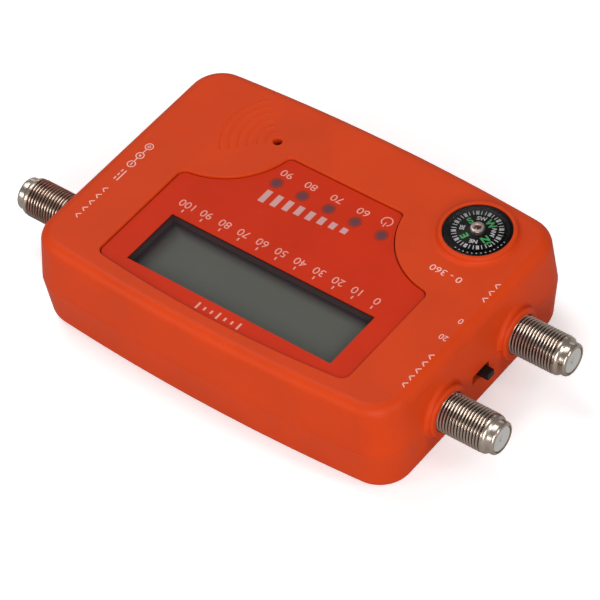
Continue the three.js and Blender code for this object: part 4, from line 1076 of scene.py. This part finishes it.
# %% Prints on the case
CASE_NUMBERS = (
    ("0 - 360", -35.6, -8.55, 1.7, 1.2), ("0", -46.6, 1.2, 1.5, 1.0), ("20", -46.2, 7.1, 1.5, 1.0),
)
ARROW_ROWS = ((-47.1, -11.7, 3), (-47.1, 13.1, 5), (44.2, 13.1, 5))
ARROW_STEP = 2.4
ARM_LENGTH = 1.25
ARM_WIDTH = 0.26
ARM_OFFSET = 0.37
ARM_LEAN = math.radians(-38)
POLES_X = 44.2
CURRENT_Y, CURRENT_LINE, CURRENT_LENGTH, CURRENT_SHIFT = 7.6, 0.3, 3.6, -0.5
DASH_STEP, DASH_LENGTH, DASH_SHIFT = 1.35, 0.85, 0.4
MINUS_Y, MIDDLE_Y, PLUS_Y = 3.44, 0.26, -3.15
POLE_RADIUS = 0.95
POLE_LINE = 0.25
POLE_SIGN = 1.0
POLE_DOT = 0.32
POLE_LINKS = ((1.85, 1.2), (-1.45, 1.4))


def chevron(bm, x, y):
    for side in (-1, 1):
        mark(bm, x, y + side * ARM_OFFSET, ARM_LENGTH, ARM_WIDTH, FACE_Z, side * ARM_LEAN)


def case_prints():
    bm = bmesh.new()
    for text, x, y, height, stretch in CASE_NUMBERS:
        lettering(bm, text, x, y, height, FACE_Z, stretch=stretch)
    for x, first_y, count in ARROW_ROWS:
        for i in range(count):
            chevron(bm, x, first_y + ARROW_STEP * i)
    mark(bm, POLES_X + CURRENT_SHIFT, CURRENT_Y, CURRENT_LINE, CURRENT_LENGTH, FACE_Z)
    for i in (-1, 0, 1):
        dash_y = CURRENT_Y + DASH_STEP * i
        mark(bm, POLES_X + DASH_SHIFT, dash_y, CURRENT_LINE, DASH_LENGTH, FACE_Z)
    for y in (MINUS_Y, MIDDLE_Y, PLUS_Y):
        ribbon(bm, POLES_X, y, POLE_RADIUS, POLE_LINE, FACE_Z, 0, FULL)
    ribbon(bm, POLES_X, MIDDLE_Y, POLE_DOT / 2, POLE_DOT, FACE_Z, 0, FULL)
    mark(bm, POLES_X, PLUS_Y, POLE_SIGN, POLE_LINE, FACE_Z)
    for y, width in ((MINUS_Y, POLE_SIGN), (PLUS_Y, POLE_SIGN), *POLE_LINKS):
        mark(bm, POLES_X, y, POLE_LINE, width, FACE_Z)
    return bm


piece("case_prints", case_prints(), white_ink)

# %% [markdown]
# Low rings spread from the sound hole on one side. Each is a shallow rib a millimetre wide whose
# section is a flat hump, spun through a quarter turn.

# %% Sound rings
RING_RADII = (3.0, 5.0, 7.2, 9.4, 11.5, 13.6)
RING_WIDTH = 1.0
RING_RISE = 0.12
RING_SUNK = 0.05
HUMP_STEPS = 8
HUMP_POWER = 1.2


def sound_rings():
    bm = bmesh.new()
    low = FACE_Z - RING_SUNK
    for radius in RING_RADII:
        hump = [(radius - RING_WIDTH / 2, low), (radius + RING_WIDTH / 2, low)]
        for i in range(1, HUMP_STEPS):
            share = i / HUMP_STEPS
            lift = (RING_RISE + RING_SUNK) * math.sin(math.pi * share) ** HUMP_POWER
            hump.append((radius + RING_WIDTH * (0.5 - share), low + lift))
        part = bmesh.new()
        spun(part, chain(part, hump, True), 32, QUARTER)
        moved(closed(part), SOUND_X, SOUND_Y, 0, Matrix.Rotation(-QUARTER / 2, 4, "Z"))
        add_to(bm, part)
    return bm


piece("sound_rings", sound_rings(), case_plastic)

# %% [markdown]
# The lamps sit just below the film. Each is a low round lens, a little redder towards its rim.

# %% Lamps
LENS_RADIUS = 1.33
LENS_PROFILE = (
    (0, 18.35), (1.2, 18.35), (1.2, 25.12), (LENS_RADIUS, 25.22), (LENS_RADIUS, 25.72),
    (1.1, 25.72), (0.85, 25.72), (0.55, 25.72), (0, 25.72),
)


def lens():
    bm = turned(LENS_PROFILE, 40)
    return keep_value(bm, "from_middle", lambda vert: min(1.0, vert.co.xy.length / LENS_RADIUS))


for name, (x, y) in zip(LAMP_NAMES, LAMP_PLACES):
    piece(f"{name}_lens", moved(lens(), x, y), lamp_violet, stands_for=(name,))

# %% [markdown]
# The film is darker round each lamp, with a soft edge: a painted shade round each hole. The mask is
# the distance to the nearest lamp.

# %% Painted shade in the film round the lamps
RIM_FROM = 2.05
RIM_FULL = 0.85
RIM_SHADE = (116, 42, 32)


def shade_round_lamps(material, colour):
    tree = material.node_tree
    where = coordinates(tree)
    nearest = None
    for x, y in LAMP_PLACES:
        away = new_node(tree, "ShaderNodeVectorMath", (-1100, 500), operation="DISTANCE")
        away.inputs[1].default_value = (x * MM, y * MM, LABEL_Z * MM)
        wire(where, away.inputs[0])
        least = new_node(tree, "ShaderNodeMath", (-900, 500), operation="MINIMUM")
        wire(away.outputs["Value"], least.inputs[0])
        wire(nearest or away.outputs["Value"], least.inputs[1])
        nearest = least.outputs["Value"]
    tinted(material, soft_mask(nearest, RIM_FROM * MM, RIM_FULL * MM), colour)


# Painted shade on the film round the lamps.
shade_round_lamps(label_film, RIM_SHADE)
print("rims round", len(LAMP_PLACES), "lamps")

# %% [markdown]
# ## Compass
# A black cup holds a card that turns on a needle, under a clear dome. The card is printed with
# ticks, four green letters and four small white ones, and a bright bearing sits at its middle.

# %% Compass cup and dome
CUP_RADIUS = 7.85
CUP_WALL = 0.65
CUP_RIM = 27.75
CUP_EDGE = 0.12
LEDGE_RADIUS = 6.45
LEDGE_TOP = 27.6
LEDGE_EDGE = 0.1
CUP_PROFILE = (
    (0, CUP_BOTTOM), (CUP_RADIUS, CUP_BOTTOM), (CUP_RADIUS, CUP_RIM), (7.2, CUP_RIM),
    (7.2, LEDGE_TOP), (LEDGE_RADIUS, LEDGE_TOP), (LEDGE_RADIUS, 27.2), (7.1, 26.7), (7.1, 21.3),
    (0, 21.3),
)
DOT_RING = 6.95
DOT_RADIUS = 0.17
DOT_STEP = math.radians(8.5)
CAMERA_SIDE = math.radians(131.6)
DOME_RISE = 2.05
DOME_SKIN = 0.5


def around(radius, angle):
    return COMPASS_X + radius * math.cos(angle), COMPASS_Y + radius * math.sin(angle)


def compass_cup():
    bm = turned(CUP_PROFILE, 128)
    soften_ring(bm, CUP_RADIUS, CUP_RIM, CUP_EDGE, 2)
    soften_ring(bm, LEDGE_RADIUS, LEDGE_TOP, LEDGE_EDGE, 2)
    return at_compass(bm)


def ledge_dots():
    bm = bmesh.new()
    for i in range(-6, 7):
        dot = rod(DOT_RADIUS, LEDGE_TOP - INK_SUNK, LEDGE_TOP + INK, 12)
        add_to(bm, moved(dot, *around(DOT_RING, CAMERA_SIDE + i * DOT_STEP)))
    return bm


def cap_arc(radius, rise, foot, steps):
    sphere = (radius ** 2 + rise ** 2) / (2 * rise)
    edge = math.asin(radius / sphere)
    arc = []
    for i in range(steps):
        angle = edge * (1 - i / steps)
        arc.append((sphere * math.sin(angle), foot + rise + sphere * (math.cos(angle) - 1)))
    return [*arc, (0, foot + rise)]


def compass_dome():
    outer = cap_arc(CUP_RADIUS, DOME_RISE, CUP_RIM, 16)
    inner = cap_arc(CUP_RADIUS - CUP_WALL, DOME_RISE - DOME_SKIN, CUP_RIM, 16)
    return at_compass(turned([*outer, *reversed(inner)], 96, shut=True))


piece("compass_cup_fine", compass_cup(), cup_black, stands_for=("compass_cup",))
piece("compass_ledge_dots", ledge_dots(), card_white)
piece("compass_dome_fine", compass_dome(), clear_dome, stands_for=("compass_dome",))

# %% [markdown]
# The card's ticks, letters and arrow are turned to where they point in the photograph.

# %% Compass card and its prints
CARD_TOP = 27.8
CARD_THICKNESS = 0.6
CARD_RADIUS = 6.1
CARD_BORE = 0.9
NORTH = math.radians(155)
TICK_RADIUS = 5.35
TICK_LENGTH = 1.15
TICK_WIDTH = 0.18
TICK_SPREAD = 2.6
ARROW_TIP = 5.5
ARROW_LENGTH = 1.1
ARROW_WIDTH = 0.34
ARROW_LEANS = (-0.52, -0.2, 0.2, 0.52)
LARGE_LETTERS = {"radius": 3.25, "height": 1.75, "weight": 0.08}
SMALL_LETTERS = {"radius": 3.5, "height": 1.05, "weight": 0.03, "first": 45}


def compass_card():
    low = CARD_TOP - CARD_THICKNESS
    return at_compass(turned([
        (CARD_BORE, low), (CARD_RADIUS, low), (CARD_RADIUS, CARD_TOP), (CARD_BORE, CARD_TOP),
    ], 96, shut=True))


def card_ticks():
    bm = bmesh.new()
    for i in range(36):
        for shift in (-TICK_SPREAD, 0, TICK_SPREAD) if i % 3 == 0 else (0,):
            at = math.radians(10 * i) + NORTH + math.radians(shift)
            mark(bm, *around(TICK_RADIUS, at), TICK_LENGTH, TICK_WIDTH, CARD_TOP, at)
    return bm


def card_letters(names, radius, height, weight, first=0):
    bm = bmesh.new()
    for i, text in enumerate(names):
        angle = NORTH - math.radians(first + 90 * i)
        lettering(bm, text, *around(radius, angle), height, CARD_TOP, angle - QUARTER, weight)
    return bm


def card_arrow(bm):
    tip_x, tip_y = around(ARROW_TIP, NORTH)
    for lean in ARROW_LEANS:
        x = tip_x - ARROW_LENGTH / 2 * math.cos(NORTH + lean)
        y = tip_y - ARROW_LENGTH / 2 * math.sin(NORTH + lean)
        mark(bm, x, y, ARROW_LENGTH, ARROW_WIDTH, CARD_TOP, NORTH + lean)
    return bm


white_points = card_letters(("NE", "SE", "SW", "NW"), **SMALL_LETTERS)
green_points = card_arrow(card_letters("NESW", **LARGE_LETTERS))
piece("compass_card_fine", compass_card(), card_black, "compass_card",
      ("compass_dial",))
piece("card_ticks", card_ticks(), card_white, "compass_card")
piece("card_letters", green_points, card_green, "compass_card")
piece("card_small_letters", white_points, card_white, "compass_card")

# %% [markdown]
# The bearing is a hollow cap with a small red jewel in it.

# %% Bearing cap
CAP_RADIUS = 1.7
CAP_TOP = 28.9
CAP_ROUND = 0.3
CAP_PROFILE = (
    (CARD_BORE, CARD_TOP), (CAP_RADIUS, CARD_TOP), (CAP_RADIUS, CAP_TOP), (0.95, CAP_TOP),
    (0.75, 28.65), (0.75, 28.3), (CARD_BORE, 28.25),
)
JEWEL_PROFILE = ((0, 28.4), (0.73, 28.4), (0.73, 28.6), (0.375, 28.7), (0, 28.74))


def bearing_cap():
    bm = turned(CAP_PROFILE, 64, shut=True)
    return at_compass(soften_ring(bm, CAP_RADIUS, CAP_TOP, CAP_ROUND, 4))


piece("compass_bearing", bearing_cap(), cap_metal, "compass_card",
      ("compass_dial_cap",))
jewel = at_compass(turned(JEWEL_PROFILE, 48))
piece("compass_jewel", jewel, jewel_red, "compass_card")

# %% [markdown]
# ## Threaded sockets
# The thread is one pitch of its profile, spun many turns while it moves along by a pitch a turn, so
# it is a true helix. It is trimmed flat at both ends, joined to a plain nose and bored through.

# %% Threaded sockets
THREAD_CREST = 4.76
THREAD_ROOT = 4.34
THREAD_PITCH = 0.794
THREAD_FLAT = 0.1
THREAD_STEPS = 40
THREAD_LAP = 0.2
SHOULDER = -2.4
BAND_START = -3.45
BAND_RADIUS = 4.66
BAND_ROUND = 0.35
NOSE_RADIUS = 4.0
NOSE_ROUND = 0.72
NOSE_PROFILE = (
    (0, -4.4), (4.37, -4.4), (4.37, BAND_START), (BAND_RADIUS, -3.15), (BAND_RADIUS, SHOULDER),
    (4.25, -2.05), (NOSE_RADIUS, -1.8), (NOSE_RADIUS, 0), (0, 0),
)
SOCKET_BORE = 3.25
BLOCK_HALF = 4.35
BLOCK_FRONT = -3.1
BLOCK_BACK = -11.1
BARREL_REAR = -7.1


def helix(z0, z1):
    bm = bmesh.new()
    pitch = THREAD_PITCH
    profile = [
        (THREAD_ROOT, 0), (THREAD_ROOT, THREAD_FLAT), (THREAD_CREST, (pitch - THREAD_FLAT) / 2),
        (THREAD_CREST, (pitch + THREAD_FLAT) / 2), (THREAD_ROOT, pitch),
    ]
    turns = math.ceil((z1 - z0) / pitch) + 2
    rise = (0, 0, pitch / THREAD_STEPS)
    spun(bm, chain(bm, profile), THREAD_STEPS * turns, FULL * turns, dvec=rise)
    bmesh.ops.translate(bm, vec=(0, 0, z0 - pitch), verts=bm.verts)
    bmesh.ops.remove_doubles(bm, verts=bm.verts, dist=NEAR)
    cut_off(bm, z0, -1)
    cut_off(bm, z1, 1)
    return closed(bm)


# Each vertex keeps how deep in a groove it lies, so that the thread's finish paints shade into the
# grooves.
def mark_groove_shade(bm, front):
    def depth(vert):
        share = (THREAD_CREST - vert.co.xy.length) / (THREAD_CREST - THREAD_ROOT)
        return min(1.0, max(0.0, share)) if BARREL_REAR < vert.co.z < front else 0.0

    return keep_value(bm, "painted_groove_shade", depth)


def socket_barrel(reach):
    nose = turned(NOSE_PROFILE, 64)
    soften_ring(nose, BAND_RADIUS, SHOULDER, BAND_ROUND, 4)
    soften_ring(nose, NOSE_RADIUS, 0, NOSE_ROUND, 8)
    thread_end = reach + BAND_START + THREAD_LAP
    block = box(-BLOCK_HALF, BLOCK_HALF, -BLOCK_HALF, BLOCK_HALF, BLOCK_BACK, BLOCK_FRONT)
    bore = rod(SOCKET_BORE, BLOCK_BACK - PAST, reach + PAST, 64)
    bm = combined(helix(BARREL_REAR, thread_end), [moved(nose, z=reach), block], [bore])
    return mark_groove_shade(bm, thread_end - THREAD_LAP / 2)


for name, (side, y, reach) in SOCKETS.items():
    piece(f"{name}_barrel", laid(socket_barrel(reach), side, y), thread_nickel,
          stands_for=(f"{name}_socket_barrel",), evened=True)

# %% [markdown]
# Each socket is filled by a white insulator with a dished face. A cable's inner wire goes through
# the small funnel in its middle, to the spring contact behind.

# %% Insulators
INSULATOR_RADIUS = 3.1
INSULATOR_SUNK = 0.2
INSULATOR_RIM = 0.45
INSULATOR_EDGE = 0.12
DISH_DEPTH = 0.12
FUNNEL_RADIUS = 0.75
FUNNEL_DEPTH = 1.3
WIRE_HOLE = 0.45


def insulator(reach):
    face = reach - INSULATOR_SUNK
    bm = turned([
        (WIRE_HOLE, BLOCK_BACK), (INSULATOR_RADIUS, BLOCK_BACK), (INSULATOR_RADIUS, face),
        (INSULATOR_RADIUS - INSULATOR_RIM, face), (FUNNEL_RADIUS, face - DISH_DEPTH),
        (WIRE_HOLE, face - FUNNEL_DEPTH),
    ], 64, shut=True)
    return soften_ring(bm, INSULATOR_RADIUS, face, INSULATOR_EDGE, 2)


for name, (side, y, reach) in SOCKETS.items():
    piece(f"{name}_insulator", laid(insulator(reach), side, y), insulator_white,
          stands_for=(f"{name}_socket_insulator",))

# %% [markdown]
# ## Switch and power socket
# The switch's knob slides in a slot of the lower half. Its edges are softened, and three fine
# grooves across its end give a fingernail a grip. The wide shoe behind the wall keeps it in.

# %% Switch knob
KNOB_END = -53.02
KNOB_ROOT = -46.5
KNOB_Y0, KNOB_Y1 = -1.58, 0.92
KNOB_Z0, KNOB_Z1 = 10.45, 12.15
SHOE_X0, SHOE_X1 = -47.22, -45.62
SHOE_Y0, SHOE_Y1 = -2.83, 2.17
SHOE_Z0, SHOE_Z1 = 8.7, 13.9
KNOB_ROUND = 0.16
GROOVE_FIRST, GROOVE_PITCH = 0.55, 0.62
GROOVE_HALF, GROOVE_DEPTH = 0.12, 0.14


def eased(bm, width, segments):
    return rounded(bm, bm.edges[:], width, segments)


def knob():
    shoe = box(SHOE_X0, SHOE_X1, SHOE_Y0, SHOE_Y1, SHOE_Z0, SHOE_Z1)
    grooves = []
    for i in range(3):
        x = KNOB_END + GROOVE_FIRST + i * GROOVE_PITCH
        grooves.append(box(x - GROOVE_HALF, x + GROOVE_HALF, KNOB_Y0 - PAST, KNOB_Y1 + PAST,
                           KNOB_Z1 - GROOVE_DEPTH, KNOB_Z1 + PAST))
    body = eased(box(KNOB_END, KNOB_ROOT, KNOB_Y0, KNOB_Y1, KNOB_Z0, KNOB_Z1), KNOB_ROUND, 3)
    return combined(body, [shoe], grooves)


piece("switch_knob", knob(), black_plastic, "slider", ("switch_slider",))

# %% [markdown]
# The power socket faces out of the right end wall, beside the receiver's socket. Its round face is
# turned, its block is bored from the front, and a bright pin stands in the bore.

# %% Power socket
POWER_BLOCK = (37.17, 47.77, -2.5, 6.5, 8.0, 17.3)
POWER_ROUND = 0.25
POWER_FACE_X = 50.57
POWER_FACE_RADIUS = 4.0
POWER_FACE_DEPTH = 3.4
BORE_PROFILE = ((0, -9.5), (3.15, -9.5), (3.15, -0.4), (3.5, 0.05), (3.5, PAST), (0, PAST))
POWER_PIN = 1.05
POWER_PIN_ROOT = -13.8
POWER_PIN_END = -1.5
POWER_PIN_ROUND = 0.6


def power_body():
    block = eased(box(*POWER_BLOCK), POWER_ROUND, 2)
    face = rod(POWER_FACE_RADIUS, -POWER_FACE_DEPTH, 0, 64)
    soften_ring(face, POWER_FACE_RADIUS, 0, POWER_ROUND, 3)
    bore = turned(BORE_PROFILE, 64)
    laid(face, 1, POWER_Y, POWER_FACE_X)
    laid(bore, 1, POWER_Y, POWER_FACE_X)
    return combined(block, [face], [bore])


def power_pin():
    bm = rod(POWER_PIN, POWER_PIN_ROOT, POWER_PIN_END, 32)
    soften_ring(bm, POWER_PIN, POWER_PIN_END, POWER_PIN_ROUND, 5)
    return laid(bm, 1, POWER_Y, POWER_FACE_X)


piece("power_socket_face", power_body(), black_plastic,
      stands_for=("power_socket_body",))
piece("power_socket_post", power_pin(), nickel, stands_for=("power_socket_pin",))

# %% [markdown]
# ## Display frame and case screws
# A dark frame lines the opening of the display, up to the window. It is what shows as a dark band
# round the grey of the display when the meter is seen from the side.

# %% Display frame
FRAME_X0, FRAME_X1 = -33.95, 30.75
FRAME_Y0, FRAME_Y1 = 6.25, 30.45
FRAME_Z0, FRAME_Z1 = 20.85, 24.3
FRAME_LIP = 0.4
FRAME_GAP = 0.02
GLASS_X0, GLASS_X1 = -32.75, 29.55
GLASS_Y0, GLASS_Y1 = 7.45, 29.25
GLASS_TOP = 23.1


def display_frame():
    body = box(FRAME_X0, FRAME_X1, FRAME_Y0, FRAME_Y1, FRAME_Z0, FRAME_Z1)
    lip = display_hole(FRAME_LIP, FRAME_Z1 - PAST, WINDOW_BOTTOM - FRAME_GAP)
    glass = box(GLASS_X0, GLASS_X1, GLASS_Y0, GLASS_Y1, FRAME_Z0 - PAST, GLASS_TOP)
    opening = display_hole(0, FRAME_Z0 - PAST, WINDOW_BOTTOM + PAST)
    return combined(body, [lip], [glass, opening])


piece("display_frame", display_frame(), bezel_black, stands_for=("display_bezel",))

# %% [markdown]
# The screws are sunk in the underside. Each head is a turned pan with a cross cut into it, and each
# is turned in its hole by an angle of its own.

# %% Case screws
HEAD_RADIUS = 2.5
HEAD_LOW = 0.4
HEAD_CROWN = 0.95
HEAD_ROUND = 0.25
SCREW_PROFILE = (
    (0, HEAD_LOW), (1.2, HEAD_LOW), (HEAD_RADIUS, HEAD_CROWN), (HEAD_RADIUS, 2.2), (1.45, 2.2),
    (1.45, 16), (0.3, 17.2), (0, 17.2),
)
CROSS_ARM, CROSS_HALF, CROSS_DEPTH = 1.35, 0.3, 1.1
TURN_ALONG_X, TURN_ALONG_Y = 17, 31


def case_screw(x, y):
    bm = soften_ring(turned(SCREW_PROFILE, 48), HEAD_RADIUS, HEAD_CROWN, HEAD_ROUND, 3)
    cross = [box(-a, a, -b, b, HEAD_LOW - PAST, HEAD_LOW + CROSS_DEPTH)
             for a, b in ((CROSS_ARM, CROSS_HALF), (CROSS_HALF, CROSS_ARM))]
    turn = Matrix.Rotation(math.radians(TURN_ALONG_X * x + TURN_ALONG_Y * y), 4, "Z")
    return moved(combined(bm, cuts=cross), x, y, 0, turn)


SCREW_CORNERS = ((-1, -1), (1, -1), (1, 1), (-1, 1))
for number, (side, end) in enumerate(SCREW_CORNERS, 1):
    screw = case_screw(side * COLUMN_X, end * COLUMN_Y)
    piece(f"underside_screw_{number}", screw, steel, stands_for=(f"case_screw_{number}",))

# %% [markdown]
# The solids that no piece replaces stay as they are. Each gets the finish of its material slot.

# %% Finishes of the solids that stay
KEPT_FINISHES = {
    "label": label_film, "window": clear_window, "bezel": bezel_black, "display": display_grey,
    "diffuser": diffuser_white, "contact_rubber": contact_rubber, "lamp": lamp_plain,
    "black_plastic": black_plastic, "compass_cup": cup_black, "compass_card": card_black,
    "compass_dome": clear_dome, "compass_cap": cap_metal, "nickel": nickel, "steel": steel,
    "contact": contact_gold, "spring": contact_gold, "insulator": insulator_white,
    "phenolic": phenolic, "board": board_green, "ferrite": ferrite,
    "capacitor": capacitor_sleeve, "case": case_plastic,
}
slot_of = {entry["node"]: entry["material_slot"] for entry in frame["record"]["subparts"]}
for name, obj in frame["nodes"].items():
    obj.data.materials.clear()
    obj.data.materials.append(KEPT_FINISHES[slot_of[name]])
print("nodes with a finish:", len(slot_of))
